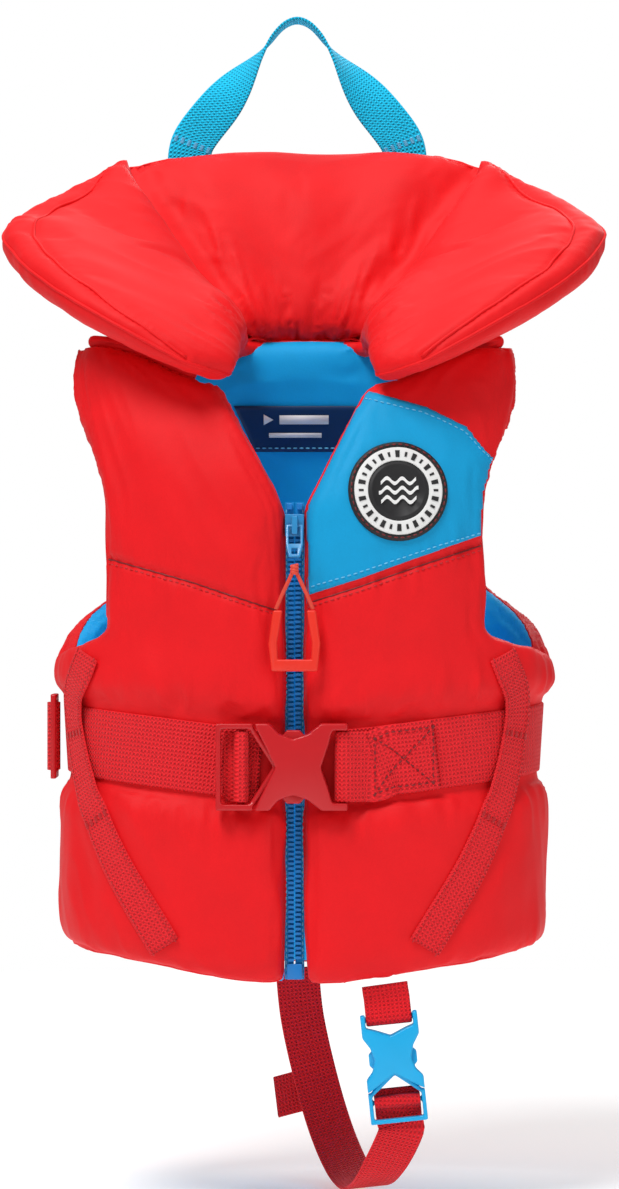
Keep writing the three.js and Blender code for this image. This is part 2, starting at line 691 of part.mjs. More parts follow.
// A strap whose route lies in the buckle's u and w axes.
function uwStrap(route, web) {
  const points = route.map(([u, w]) => V(u, 0, w));
  const faces = points.map((p, k) => {
    const before = points[Math.max(0, k - 1)];
    const after = points[Math.min(points.length - 1, k + 1)];
    const along = after.clone().sub(before);
    return V(-along.z, 0, along.x).normalize();
  });
  return strap(points, faces, web);
}

function addBuckle(name, frame, scale, web, plastic, webbing) {
  const fit = (geometry) => geometry.scale(scale.u, scale.v, scale.w);
  const group = new THREE.Group();
  group.applyMatrix4(frame);
  jacket.add(group);
  place(`${name}_buckle_female`, fit(femaleHalfShape()), plastic, group);
  place(`${name}_buckle_male`, fit(maleHalfShape()), plastic, group);
  place(`${name}_latch_upper`, fit(latchShape(1)), plastic, group);
  place(`${name}_latch_lower`, fit(latchShape(-1)), plastic, group);
  const wrap = adjusterWrap(web / scale.v).scale(scale.u, scale.v, scale.w);
  place(`${name}_adjuster_wrap`, wrap, webbing, group);
  return group;
}

// ---- Waist belt --------------------------------------------------------------------------------

const BELT_OFFSET = PANEL_CROWN - BELT_DENT + 0.9; // inner face of the belt
const BELT_OUT = BELT_OFFSET + WEB_THICKNESS;
const WAIST_BUCKLE_X = -47.6; // adjuster end
const WAIST_BUCKLE_Y = -(TORSO_HALF_DEPTH + BELT_OUT + 1);

function addBelt() {
  const start = frontAngle(WAIST_BUCKLE_X + 66, BELT_FRONT_Z);
  const finish = 2 * Math.PI + frontAngle(WAIST_BUCKLE_X + 24, BELT_FRONT_Z);
  const steps = 72;
  const half = WAIST_WEB / 2;
  const at = (offset) => (i, j) => {
    const angle = lerp(start, finish, j / (steps - 1));
    return torsoPoint(angle, beltHeight(angle) + (i ? half : -half), offset);
  };
  place("waist_belt", gridSolid(2, steps, at(BELT_OFFSET), at(BELT_OUT)), FINISH.redWebbing);
}

function addWaistBuckle() {
  const frame = new THREE.Matrix4().makeBasis(V(1, 0, 0), V(0, 0, 1), V(0, -1, 0));
  frame.setPosition(WAIST_BUCKLE_X, WAIST_BUCKLE_Y, BELT_FRONT_Z);
  const scale = { u: 1, v: (WAIST_WEB / 2 + 2 * CLEAR) / BUCKLE_SLOT_HALF, w: 1 };
  addBuckle("waist", frame, scale, WAIST_WEB, FINISH.redPlastic, FINISH.redWebbing);
}

// The belt's end goes round the buckle's bar and is sewn back on the belt, which it follows.
function addBuckleLoop() {
  const y = (w) => WAIST_BUCKLE_Y - w;
  const route = [[65.4, 0.2], [65, 3], [65.4, 6], [67.5, 7.6], [71, 7.2], [76, 4.6], [81, 2], [86, 0.8]];
  const points = route.map(([u, w]) => V(WAIST_BUCKLE_X + u, y(w), BELT_FRONT_Z));
  for (const u of [94, 102, 110, 119]) {
    const angle = frontAngle(WAIST_BUCKLE_X + u, BELT_FRONT_Z);
    points.push(torsoPoint(angle, beltHeight(angle), BELT_OUT + CLEAR * 2 + WEB_THICKNESS / 2));
  }
  const faces = points.map((p, k) => {
    const before = points[Math.max(0, k - 1)];
    const after = points[Math.min(points.length - 1, k + 1)];
    const along = after.clone().sub(before);
    return V(along.y, -along.x, 0).normalize();
  });
  place("belt_buckle_loop", strap(points, faces, WAIST_WEB), FINISH.redWebbing);
}

// Each place is a distance from the zip, as a share of the torso's half width, and a height.
const DIAGONAL_ROUTE = [
  [0.85, ARMHOLE_Z - 4], [0.91, 142], [0.895, 118], [0.85, 92], [0.729, 53], [0.526, 8],
];
const DIAGONAL_RAMP = 14; // a strap rises over this length to cross the belt
const DIAGONAL_OVER_BELT = 2.1; // middle of the strap over the belt

// Strips sewn from the armholes to the hem, outside the belt.
function addDiagonalStrap(name, side) {
  const route = new THREE.CatmullRomCurve3(
    DIAGONAL_ROUTE.map(([share, z]) => V(share * TORSO_HALF_WIDTH, 0, z)),
  );
  const steps = 26;
  const points = [];
  const faces = [];
  for (let k = 0; k < steps; k++) {
    const { x, z } = route.getPoint(k / (steps - 1));
    const angle = frontAngle(ZIP_X + side * x, z);
    const flat = WAIST_WEB / 2 - 1;
    const overBelt = 1 - smooth(Math.abs(z - beltHeight(angle)), flat, flat + DIAGONAL_RAMP);
    const offset = lerp(PANEL_CROWN + 1.4, BELT_OUT + DIAGONAL_OVER_BELT, overBelt);
    points.push(torsoPoint(angle, z, offset));
    faces.push(torsoNormal(angle, z));
  }
  place(name, strap(points, faces, DIAGONAL_WEB), FINISH.redWebbing);
}

// A strip at the middle of the back holds the belt to the cover.
function addBeltKeeper() {
  const half = WAIST_WEB / 2 + BELT_MARGIN - 0.5;
  const at = (offset) => (i, j) =>
    torsoPoint(Math.PI + lerp(-0.09, 0.09, i / 3), BELT_SIDE_Z + lerp(-half, half, j / 3), offset);
  const low = BELT_OUT + 0.4;
  place("back_belt_keeper", gridSolid(4, 4, at(low), at(low + WEB_THICKNESS)), FINISH.redWebbing);
}

// The tri-glide sits on the belt at the wearer's right side, with the belt's spare end round its
// middle bar.
function addTriglide() {
  const x = -(torsoWidth(BELT_SIDE_Z + WAIST_WEB / 2) + BELT_OUT + 0.9);
  const half = TRIGLIDE_LENGTH / 2;
  const tall = WAIST_WEB / 2;
  const frame = new THREE.Matrix4().makeBasis(V(0, 1, 0), V(0, 0, 1), V(1, 0, 0));
  frame.setPosition(x, -4, BELT_SIDE_Z);
  const group = new THREE.Group();
  group.applyMatrix4(frame);
  jacket.add(group);
  const plate = cut(
    block(-half, half, -tall - 4.5, tall + 4.5, -4.6, -1.4),
    block(-half + 3, -2, -tall - 0.8, tall + 0.8, -9, 9),
    block(2, half - 3, -tall - 0.8, tall + 0.8, -9, 9),
  );
  place("belt_triglide", plate, FINISH.redPlastic, group);
  const wrap = strap(
    [[-6.6, -0.6], [-5.2, -2.6], [-3.6, -5.4], [0, -6.4], [3.6, -5.4], [5.2, -2.6], [6.6, -0.6]].map(
      ([u, w]) => V(u, 0, w),
    ),
    [[-0.6, -1], [-0.9, -0.7], [-0.7, -1], [0, -1], [0.7, -1], [0.9, -0.7], [0.6, -1]].map(([u, w]) =>
      V(u, 0, w).normalize(),
    ),
    WAIST_WEB,
  );
  place("triglide_wrap", wrap, FINISH.redWebbing, group);
}

// ---- Crotch strap ------------------------------------------------------------------------------

const CROTCH_SCALE = { u: 0.83, v: (CROTCH_WEB + 6) / (2 * BUCKLE_HALF_WIDTH), w: 0.8 };
const CROTCH_TILT = THREE.MathUtils.degToRad(6);
const CROTCH_BUCKLE = V(52, -(TORSO_HALF_DEPTH - 10), -87);

function crotchFrame() {
  const up = V(-Math.sin(CROTCH_TILT), 0, Math.cos(CROTCH_TILT));
  const out = V(0, -1, 0);
  return new THREE.Matrix4().makeBasis(up, out.clone().cross(up), out).setPosition(CROTCH_BUCKLE);
}

function addCrotchBuckle() {
  addBuckle("crotch", crotchFrame(), CROTCH_SCALE, CROTCH_WEB, FINISH.bluePlastic, FINISH.redWebbing);
}

// The side that each point of a strap faces, for a strap whose width lies along an axis.
function facesAcross(points, axis) {
  return points.map((p, k) => {
    const before = points[Math.max(0, k - 1)];
    const after = points[Math.min(points.length - 1, k + 1)];
    return axis.clone().cross(after.clone().sub(before)).normalize();
  });
}

function addCrotchStrap() {
  const frame = crotchFrame();
  const onBuckle = (u, w) => V(u * CROTCH_SCALE.u, 0, w * CROTCH_SCALE.w).applyMatrix4(frame);
  const across = V(1, 0, 0).transformDirection(new THREE.Matrix4().makeRotationY(-CROTCH_TILT));
  const rearY = TORSO_HALF_DEPTH - 12;
  const route = new THREE.CatmullRomCurve3([
    V(-4, rearY, HEM_FRONT_Z - 4),
    V(-1, rearY, -45),
    V(7, rearY - 6, -80),
    V(16, rearY - 24, -108),
    V(26, rearY - 54, -127),
    V(34, -18, -130),
    V(42, -52, -118),
    onBuckle(-8, -4),
    onBuckle(2, -3),
    onBuckle(22, -3),
  ]);
  const points = route.getPoints(44);
  place("crotch_strap", strap(points, facesAcross(points, across), CROTCH_WEB), FINISH.redWebbing);

  const tab = [[65.4, 0.6], [64.9, 3.4], [65.4, 6.4], [68, 8], [71.5, 7], [76, 4.5], [82, 3]].map(([u, w]) =>
    onBuckle(u, w),
  );
  const hemY = -(TORSO_HALF_DEPTH - EDGE_DROP + PANEL_CROWN - 3);
  tab.push(V(CROTCH_BUCKLE.x - 7.6, (tab[6].y + hemY) / 2, tab[6].z / 2 + HEM_FRONT_Z / 2 - 1));
  tab.push(V(CROTCH_BUCKLE.x - 8.2, hemY, HEM_FRONT_Z - 0.4));
  place("crotch_front_tab", strap(tab, facesAcross(tab, across), CROTCH_WEB), FINISH.redWebbing);

  const tail = [V(8, rearY - 3.6, -84), V(-3, rearY - 1.6, -87), V(-16, rearY + 3, -91)];
  const tailFaces = tail.map(() => V(0, 0.9, -0.43));
  place("crotch_strap_tail", strap(tail, tailFaces, CROTCH_WEB, 2.4), FINISH.redWebbing);
}

// ---- Collar ------------------------------------------------------------------------------------

// The collar runs from one front end (s = -1) round the back of the neck to the other (s = 1).
// Each entry gives s, and the distance from the middle, depth and height over the shoulder line.
const NECK_EDGE = [
  [0, 0, 48, 7], [0.25, 22, 44, 6], [VALLEY, 38, 28, 5], [0.7, 42, -28, 2], [1, 39, -75, -20],
];
const OUTER_EDGE = [
  [0, 0, 92, 7 + COLLAR_HEIGHT],
  [0.25, 50, 90, 7 + COLLAR_HEIGHT],
  [VALLEY, 97, 80, COLLAR_HEIGHT],
  [0.55, COLLAR_HALF_SPREAD - 16, 42, 82],
  [0.68, COLLAR_HALF_SPREAD, 0, 63],
  [0.8, COLLAR_HALF_SPREAD - 20, -46, 38],
  [0.9, 108, -78, 12],
  [1, 64, -91, -13],
];
const COLLAR_STATIONS = [0, 0.12, 0.25, 0.36, VALLEY, 0.48, 0.58, 0.68, 0.8, 0.9, 0.96, 1];
const COLLAR_ROWS = [0, 0.06, 0.2, 0.45, 0.7, 0.88, 0.96, 1];

// A smooth line through a list of places along s.
function edgePoint(list, s) {
  const side = Math.sign(s) || 1;
  const along = Math.abs(s);
  let k = 0;
  while (k < list.length - 2 && along > list[k + 1][0]) k++;
  const t = (along - list[k][0]) / (list[k + 1][0] - list[k][0]);
  const point = (n) => {
    if (n < 0) return V(-list[1][1], list[1][2], list[1][3]);
    const entry = list[Math.min(n, list.length - 1)];
    return V(entry[1], entry[2], entry[3]);
  };
  const slope = (n) => point(n + 1).sub(point(n - 1)).multiplyScalar(0.5);
  const a = point(k);
  const b = point(k + 1);
  const m = slope(k);
  const n = slope(k + 1);
  const at = (f) =>
    (2 * t ** 3 - 3 * t ** 2 + 1) * f(a) +
    (t ** 3 - 2 * t ** 2 + t) * f(m) +
    (3 * t ** 2 - 2 * t ** 3) * f(b) +
    (t ** 3 - t ** 2) * f(n);
  return V(side * at((p) => p.x), at((p) => p.y), SHOULDER_Z + at((p) => p.z));
}

function collarPoint(s, t) {
  return edgePoint(NECK_EDGE, s).lerp(edgePoint(OUTER_EDGE, s), t);
}

function collarNormal(s, t) {
  const step = 0.004;
  const along = collarPoint(Math.min(1, s + step), t).sub(collarPoint(Math.max(-1, s - step), t));
  const up = collarPoint(s, Math.min(1, t + step)).sub(collarPoint(s, Math.max(0, t - step)));
  return along.cross(up).normalize();
}

// Half the collar's thickness: full inside each segment, thin at its rim and in the folds.
function collarHalf(s, t) {
  const roll = (share) => Math.sqrt(Math.max(0, 1 - (1 - clamp01(share)) ** 2));
  const height = roll(t / 0.25) * roll((1 - t) / 0.25);
  const end = roll((1 - Math.abs(s)) / 0.16);
  const fold = 0.35 + 0.65 * clamp01(Math.abs(Math.abs(s) - VALLEY) / 0.1);
  const full = (COLLAR_THICKNESS / 2) * (1 - 0.4 * smooth(Math.abs(s), 0.62, 0.95));
  return COLLAR_RIM / 2 + (full - COLLAR_RIM / 2) * height * end * fold;
}

function collarLayer(stations, rows, near, far) {
  const at = (where) => (i, j) => {
    const s = stations[i];
    const t = rows[j];
    const offset = where(collarHalf(s, t));
    return collarPoint(s, t).addScaledVector(collarNormal(s, t), offset);
  };
  return gridSolid(stations.length, rows.length, at(near), at(far));
}

function addCollar() {
  const all = [...COLLAR_STATIONS.slice(1).reverse().map((s) => -s), ...COLLAR_STATIONS];
  const gap = SKIN + CLEAR;
  place("collar_outer_cover", collarLayer(all, COLLAR_ROWS, (h) => -h, (h) => SKIN - h), FINISH.redFabric);
  place("collar_head_cover", collarLayer(all, COLLAR_ROWS, (h) => h - SKIN, (h) => h), FINISH.redFabric);
  const rows = COLLAR_ROWS.slice(1, -1);
  const foam = (name, stations) =>
    place(name, collarLayer(stations, rows, (h) => gap - h, (h) => h - gap), FINISH.foam);
  const inner = COLLAR_STATIONS.filter((s) => s < VALLEY);
  const outer = COLLAR_STATIONS.filter((s) => s > VALLEY && s < 1);
  foam("collar_foam_center", [...inner.slice(1).reverse().map((s) => -s), ...inner]);
  foam("collar_foam_left", outer);
  foam("collar_foam_right", outer.slice().reverse().map((s) => -s));
}

// The grab handle is a loop of webbing on the collar's top edge. Its face turns from the front at
// its ends to the ground at its top.
function addHandle() {
  const foot = edgePoint(OUTER_EDGE, 0);
  const x0 = -4;
  const base = foot.z + COLLAR_RIM / 2 + 3;
  const route = new THREE.CatmullRomCurve3([
    V(-HANDLE_HALF_SPAN, 0, 0),
    V(-HANDLE_HALF_SPAN, 0, HANDLE_HEIGHT * 0.06),
    V(-HANDLE_HALF_SPAN * 0.68, 0, HANDLE_HEIGHT * 0.36),
    V(-HANDLE_HALF_SPAN * 0.36, 0, HANDLE_HEIGHT * 0.72),
    V(-HANDLE_HALF_SPAN * 0.11, 0, HANDLE_HEIGHT * 0.98),
    V(HANDLE_HALF_SPAN * 0.11, 0, HANDLE_HEIGHT * 0.98),
    V(HANDLE_HALF_SPAN * 0.36, 0, HANDLE_HEIGHT * 0.72),
    V(HANDLE_HALF_SPAN * 0.68, 0, HANDLE_HEIGHT * 0.36),
    V(HANDLE_HALF_SPAN, 0, HANDLE_HEIGHT * 0.06),
    V(HANDLE_HALF_SPAN, 0, 0),
  ]);
  const steps = 30; // an odd number of spans, so that the middle one lies level at the top
  const points = [];
  const faces = [];
  for (let k = 0; k < steps; k++) {
    const t = k / (steps - 1);
    const point = route.getPoint(t);
    const along = route.getTangent(t);
    const turn = smooth(1 - Math.abs(2 * t - 1), 0.25, 0.85) * (Math.PI / 2);
    const up = V(-along.z, 0, along.x);
    const face = V(0, -Math.cos(turn), 0).addScaledVector(up, Math.sin(turn));
    points.push(V(x0 + point.x, foot.y + 2 + point.y, base + point.z));
    faces.push(face.normalize());
  }
  place("grab_handle", strap(points, faces, HANDLE_WEB), FINISH.blueWebbing);
}

// ---- Assembly ----------------------------------------------------------------------------------

const leftPanel = frontPanel(1);
const back = backPanel();
addPanel("left_front", leftPanel, FINISH.redFabric);
addPanel("right_front", frontPanel(-1), FINISH.redFabric);
addPanel("back", back, FINISH.redFabric);
addShoulderStrap("left_shoulder_strap", 1);
addShoulderStrap("right_shoulder_strap", -1);
addYoke(leftPanel);
addBadge(leftPanel);
addLabel(back);
addZip();
addSlider();
addPullTab();
addPullGrip();
addBelt();
addWaistBuckle();
addBuckleLoop();
addDiagonalStrap("left_diagonal_strap", 1);
addDiagonalStrap("right_diagonal_strap", -1);
addBeltKeeper();
addTriglide();
addCrotchBuckle();
addCrotchStrap();
addCollar();
addHandle();

export default jacket;
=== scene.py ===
"""An infant foam life jacket: padded panels and collar, webbing, two buckles and a front zip.

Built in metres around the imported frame. The wearer faces -Y, +Z is up and the wearer's left is +X.
"""
import math

import bmesh
import bpy
from mathutils import Matrix, Vector, noise
from mathutils.bvhtree import BVHTree
from mathutils.kdtree import KDTree


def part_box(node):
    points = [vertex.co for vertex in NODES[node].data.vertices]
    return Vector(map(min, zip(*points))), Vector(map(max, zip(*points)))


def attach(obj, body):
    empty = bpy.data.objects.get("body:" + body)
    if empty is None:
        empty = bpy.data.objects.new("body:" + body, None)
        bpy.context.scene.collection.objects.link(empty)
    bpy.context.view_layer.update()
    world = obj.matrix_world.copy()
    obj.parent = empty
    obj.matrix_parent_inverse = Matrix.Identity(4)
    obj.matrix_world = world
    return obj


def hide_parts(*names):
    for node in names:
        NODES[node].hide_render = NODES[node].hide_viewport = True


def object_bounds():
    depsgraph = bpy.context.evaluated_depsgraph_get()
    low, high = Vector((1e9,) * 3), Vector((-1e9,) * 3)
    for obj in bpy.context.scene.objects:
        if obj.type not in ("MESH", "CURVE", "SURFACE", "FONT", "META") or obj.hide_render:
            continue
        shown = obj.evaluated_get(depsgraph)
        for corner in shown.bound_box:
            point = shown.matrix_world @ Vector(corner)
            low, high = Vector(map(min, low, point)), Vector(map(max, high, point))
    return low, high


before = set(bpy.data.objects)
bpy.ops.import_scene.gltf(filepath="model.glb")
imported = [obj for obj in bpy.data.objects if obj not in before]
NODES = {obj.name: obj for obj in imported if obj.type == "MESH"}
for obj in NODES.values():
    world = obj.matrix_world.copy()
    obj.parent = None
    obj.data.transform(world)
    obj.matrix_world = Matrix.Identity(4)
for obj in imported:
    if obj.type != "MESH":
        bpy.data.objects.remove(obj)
CAD_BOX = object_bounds()
MM = 0.001

# ---- Sizes, in millimetres unless a name says otherwise ------------------------------------------

ZIP_X = -5.0
ZIP_TOP_Z = 245.0
HEM_FRONT_Z = -12.0
SHOULDER_Z = 337.0
TORSO_HALF_WIDTH = 133.0
TORSO_HALF_DEPTH = 85.0
SECTION_POWER = 2.6
EDGE_ROLL = 15.0
RIM_THICKNESS = 4.0
VALLEY = 0.42
WAIST_WEB = 38.0
CROTCH_WEB = 25.0
DIAGONAL_WEB = 19.0
HANDLE_WEB = 25.0
WEB_THICKNESS = 1.6
STITCH_LENGTH = 2.4
STITCH_GAP = 1.1
STITCH_RADIUS = 0.4
TOOTH_PITCH = 2.6
TOOTH_REACH = 3.3
TOOTH_DEPTH = 2.1
PANEL_SWELL = 0.005  # metres
COLLAR_SWELL = 0.0075  # metres
BADGE_RADIUS = 27.3
BADGE_CENTRE = (51.0, 255.0)
BADGE_MARKS = 28
BADGE_MARKS_RADIUS = 20.4
CROTCH_BUCKLE_X = 52
CROTCH_TILT = math.radians(6)
BELT_FRONT_Z = 106.0
BELT_SIDE_Z = 120.0
FRONT_FOAM = 28.0
BACK_FOAM = 20.0
SHOULDER_FOAM = 13.0


# ---- Node helpers --------------------------------------------------------------------------------


def linear(code, alpha=1.0):
    """An sRGB hex colour as linear RGBA."""
    parts = [int(code[i : i + 2], 16) / 255 for i in (0, 2, 4)]
    return (*[c / 12.92 if c <= 0.04045 else ((c + 0.055) / 1.055) ** 2.4 for c in parts], alpha)


def add(tree, kind, settings=None, **inputs):
    """A node with its settings, and its inputs given as values or as sockets to link from."""
    node = tree.nodes.new(kind)
    for key, value in (settings or {}).items():
        setattr(node, key, value)
    for key, value in inputs.items():
        socket = node.inputs[int(key[1:])] if key[1:].isdigit() else node.inputs[key.replace("_", " ")]
        if isinstance(value, bpy.types.NodeSocket):
            tree.links.new(value, socket)
        else:
            socket.default_value = value
    return node


def finish_of(name, roughness, ior=1.5, sheen=0.0, sheen_roughness=0.5, metallic=0.0, coat=0.0):
    """A new material with its shader; the pattern is added to its tree afterwards."""
    material = bpy.data.materials.new(name)
    material.use_nodes = True
    tree = material.node_tree
    shader = tree.nodes["Principled BSDF"]
    shader.inputs["Roughness"].default_value = roughness
    shader.inputs["IOR"].default_value = ior
    shader.inputs["Metallic"].default_value = metallic
    shader.inputs["Sheen Weight"].default_value = sheen
    shader.inputs["Sheen Roughness"].default_value = sheen_roughness
    shader.inputs["Coat Weight"].default_value = coat
    return material, tree, shader


def darker(colour, share):
    return (*[c * share for c in colour[:3]], 1.0)


def nylon(name, code, roughness=0.62, lining=None):
    """Textured pack nylon, plain woven and dyed: soft broad gloss, a thread grain and faint slubs.

    The threads are 0.3 mm; the grain is drawn at 0.9 mm so that it shows.
    """
    material, tree, shader = finish_of(name, roughness, 1.34, sheen=0.04, sheen_roughness=0.45)
    place = add(tree, "ShaderNodeTexCoord").outputs["Object"]
    grain = add(tree, "ShaderNodeTexNoise", Vector=place, Scale=1000 / 0.9, Detail=2.0)
    slub = add(tree, "ShaderNodeTexNoise", Vector=place, Scale=1000 / 22, Detail=3.0)
    sum_of = {"operation": "MULTIPLY_ADD"}
    both = add(tree, "ShaderNodeMath", sum_of, _0=grain.outputs[0], _1=0.55, _2=slub.outputs[0])
    tone = add(tree, "ShaderNodeMapRange", _0=both.outputs[0], _1=0.45, _2=1.1, _3=0.0, _4=1.0).outputs[0]
    base = linear(code)
    mix = {"data_type": "RGBA"}
    dark, light = darker(base, 0.94), darker(base, 1.06)
    colour = add(tree, "ShaderNodeMix", mix, _0=tone, _6=dark, _7=light).outputs[2]
    if lining:
        inner = linear(lining)
        dark, light = darker(inner, 0.94), darker(inner, 1.05)
        pale = add(tree, "ShaderNodeMix", mix, _0=tone, _6=dark, _7=light).outputs[2]
        side = add(tree, "ShaderNodeAttribute", {"attribute_name": "lining"}).outputs["Fac"]
        is_lining = add(tree, "ShaderNodeMath", {"operation": "GREATER_THAN"}, _0=side, _1=0.5)
        colour = add(tree, "ShaderNodeMix", mix, _0=is_lining.outputs[0], _6=colour, _7=pale).outputs[2]
    tree.links.new(colour, shader.inputs["Base Color"])
    bump = add(tree, "ShaderNodeBump", Strength=0.35, Distance=0.0002, Height=grain.outputs[0])
    tree.links.new(bump.outputs[0], shader.inputs["Normal"])
    return material


def webbing_finish(name, code, rib=2.2):
    """Woven polyester webbing: matte, cross ribs along its length and a plain edge on each side.

    Its UV map gives millimetres across and along the strap.
    """
    material, tree, shader = finish_of(name, 0.72, 1.38, sheen=0.04)
    uv = add(tree, "ShaderNodeUVMap", {"uv_map": "weave"}).outputs[0]
    split = add(tree, "ShaderNodeSeparateXYZ", Vector=uv)
    turn = 2 * math.pi
    along = add(tree, "ShaderNodeMath", {"operation": "MULTIPLY"}, _0=split.outputs[1], _1=turn / rib)
    across = add(tree, "ShaderNodeMath", {"operation": "MULTIPLY"}, _0=split.outputs[0], _1=turn / 2.3)
    ribs = add(tree, "ShaderNodeMath", {"operation": "SINE"}, _0=along.outputs[0])
    warps = add(tree, "ShaderNodeMath", {"operation": "SINE"}, _0=across.outputs[0])
    weave = add(tree, "ShaderNodeMath", {"operation": "MULTIPLY"}, _0=ribs.outputs[0], _1=warps.outputs[0])
    sum_of = {"operation": "MULTIPLY_ADD"}
    mixed = add(tree, "ShaderNodeMath", sum_of, _0=ribs.outputs[0], _1=0.6, _2=weave.outputs[0])
    place = add(tree, "ShaderNodeTexCoord").outputs["Object"]
    fuzz = add(tree, "ShaderNodeTexNoise", Vector=place, Scale=1000 / 1.4, Detail=2.0)
    worn = add(tree, "ShaderNodeMapRange", _0=fuzz.outputs[0], _1=0.3, _2=0.7, _3=0.4, _4=0.6)
    tone = add(tree, "ShaderNodeMath", sum_of, _0=mixed.outputs[0], _1=0.34, _2=worn.outputs[0])
    base = linear(code)
    dark, light = darker(base, 0.66), darker(base, 1.3)
    colour = add(tree, "ShaderNodeMix", {"data_type": "RGBA"}, _0=tone.outputs[0], _6=dark, _7=light)
    tree.links.new(colour.outputs[2], shader.inputs["Base Color"])
    bump = add(tree, "ShaderNodeBump", Strength=0.8, Distance=0.0005, Height=mixed.outputs[0])
    tree.links.new(bump.outputs[0], shader.inputs["Normal"])
    return material


def moulded(name, code, roughness=0.38, grit=0.7, metallic=0.0, coat=0.0):
    """Injection-moulded acetal or painted zinc: an even colour, a soft gloss and a fine spark grain."""
    material, tree, shader = finish_of(name, roughness, 1.48, metallic=metallic, coat=coat)
    place = add(tree, "ShaderNodeTexCoord").outputs["Object"]
    grain = add(tree, "ShaderNodeTexNoise", Vector=place, Scale=1000 / grit, Detail=2.0)
    cloud = add(tree, "ShaderNodeTexNoise", Vector=place, Scale=1000 / 14, Detail=2.0)
    base = linear(code)
    dark, light = darker(base, 0.93), darker(base, 1.07)
    colour = add(tree, "ShaderNodeMix", {"data_type": "RGBA"}, _0=cloud.outputs[0], _6=dark, _7=light)
    tree.links.new(colour.outputs[2], shader.inputs["Base Color"])
    gloss = add(tree, "ShaderNodeMapRange", _0=grain.outputs[0], _3=roughness - 0.05, _4=roughness + 0.08)
    tree.links.new(gloss.outputs[0], shader.inputs["Roughness"])
    bump = add(tree, "ShaderNodeBump", Strength=0.12, Distance=0.0001, Height=grain.outputs[0])
    tree.links.new(bump.outputs[0], shader.inputs["Normal"])
    return material


def thread_finish(name, code):
    """Bonded polyester sewing thread: a twisted strand with a slight gloss."""
    material, tree, shader = finish_of(name, 0.5, 1.5, sheen=0.1)
    place = add(tree, "ShaderNodeTexCoord").outputs["Object"]
    twist = add(tree, "ShaderNodeTexWave", Vector=place, Scale=1000 / 0.6, Distortion=1.0)
    base = linear(code)
    dark, light = darker(base, 0.82), darker(base, 1.15)
    colour = add(tree, "ShaderNodeMix", {"data_type": "RGBA"}, _0=twist.outputs[1], _6=dark, _7=light)
    tree.links.new(colour.outputs[2], shader.inputs["Base Color"])
    return material


RED_NYLON = nylon("red_pack_nylon", "ea0c16", lining="04aef0")
COLLAR_NYLON = nylon("collar_pack_nylon", "ec0d15")
BLUE_NYLON = nylon("blue_pack_nylon", "009fd8")
LABEL_SATIN = nylon("navy_woven_label", "0f3560", 0.45)
RED_WEBBING = webbing_finish("red_polyester_webbing", "ee1c26")
CROTCH_WEBBING = webbing_finish("crimson_polyester_webbing", "e8101f")
BLUE_WEBBING = webbing_finish("blue_polyester_webbing", "06cefc", 2.0)
RED_ACETAL = moulded("red_acetal", "c8161e", 0.3)
BLUE_ACETAL = moulded("blue_acetal", "06b0ec", 0.3)
ZIP_TAPE = nylon("blue_zip_tape", "1292d8", 0.7)
ZIP_TEETH = moulded("blue_acetal_teeth", "127ccb", 0.35)
SLIDER_PAINT = moulded("blue_painted_zinc", "2b8fcb", 0.3, 1.2, coat=0.3)
GRIP_PLASTIC = moulded("orange_red_moulding", "f0301e", 0.34)
PULL_CORD = thread_finish("orange_red_cord", "e4452f")
BADGE_RUBBER = moulded("black_soft_rubber", "1d1c1e", 0.55)
BADGE_WHITE = moulded("white_soft_rubber", "ededec", 0.5)
RED_THREAD = thread_finish("red_thread", "c40a14")
BLUE_THREAD = thread_finish("pale_blue_thread", "66c6ee")
# This dark red is thread for the belt loop's box and round the badge, and painted shade in the thin cords
# along the chest seams.
DARK_THREAD_AND_SEAM_SHADOW = thread_finish("dark_red_thread", "7c040c")


# ---- Mesh helpers --------------------------------------------------------------------------------


def grid_faces(columns, rows):
    """The faces of a grid of points that is listed row by row."""
    return [
        (j * columns + i, j * columns + i + 1, (j + 1) * columns + i + 1, (j + 1) * columns + i)
        for j in range(rows - 1)
        for i in range(columns - 1)
    ]


def ring_faces(rings, sides):
    """The side faces of a tube whose rings of points are listed one after another."""
    return [
        (k * sides + i, k * sides + (i + 1) % sides, (k + 1) * sides + (i + 1) % sides, (k + 1) * sides + i)
        for k in range(rings - 1)
        for i in range(sides)
    ]


def ring_round(point, side, up, radius, sides):
    """A ring of points round a cord's middle."""
    turns = [2 * math.pi * i / sides for i in range(sides)]
    return [point + (side * math.cos(a) + up * math.sin(a)) * radius * MM for a in turns]


def heading(path, k):
    """The direction of a line at its point k."""
    return (path[min(len(path) - 1, k + 1)] - path[max(0, k - 1)]).normalized()


def new_piece(name, vertices, faces, material):
    mesh = bpy.data.meshes.new(name)
    mesh.from_pydata([tuple(v) for v in vertices], [], faces)
    mesh.validate()
    mesh.materials.append(material)
    piece = bpy.data.objects.new(name, mesh)
    bpy.context.scene.collection.objects.link(piece)
    for polygon in mesh.polygons:
        polygon.use_smooth = True
    return piece


def from_bmesh(name, bm, material):
    mesh = bpy.data.meshes.new(name)
    bm.to_mesh(mesh)
    bm.free()
    mesh.materials.clear()
    mesh.materials.append(material)
    piece = bpy.data.objects.new(name, mesh)
    bpy.context.scene.collection.objects.link(piece)
    for polygon in mesh.polygons:
        polygon.use_smooth = True
        polygon.material_index = 0
    return piece


def outward(piece):
    """Points the faces of a closed mesh outwards, with its doubled points merged first."""
    bm = bmesh.new()
    bm.from_mesh(piece.data)
    bmesh.ops.remove_doubles(bm, verts=bm.verts, dist=0.000005)
    bmesh.ops.recalc_face_normals(bm, faces=bm.faces)
    bm.to_mesh(piece.data)
    bm.free()
    return piece


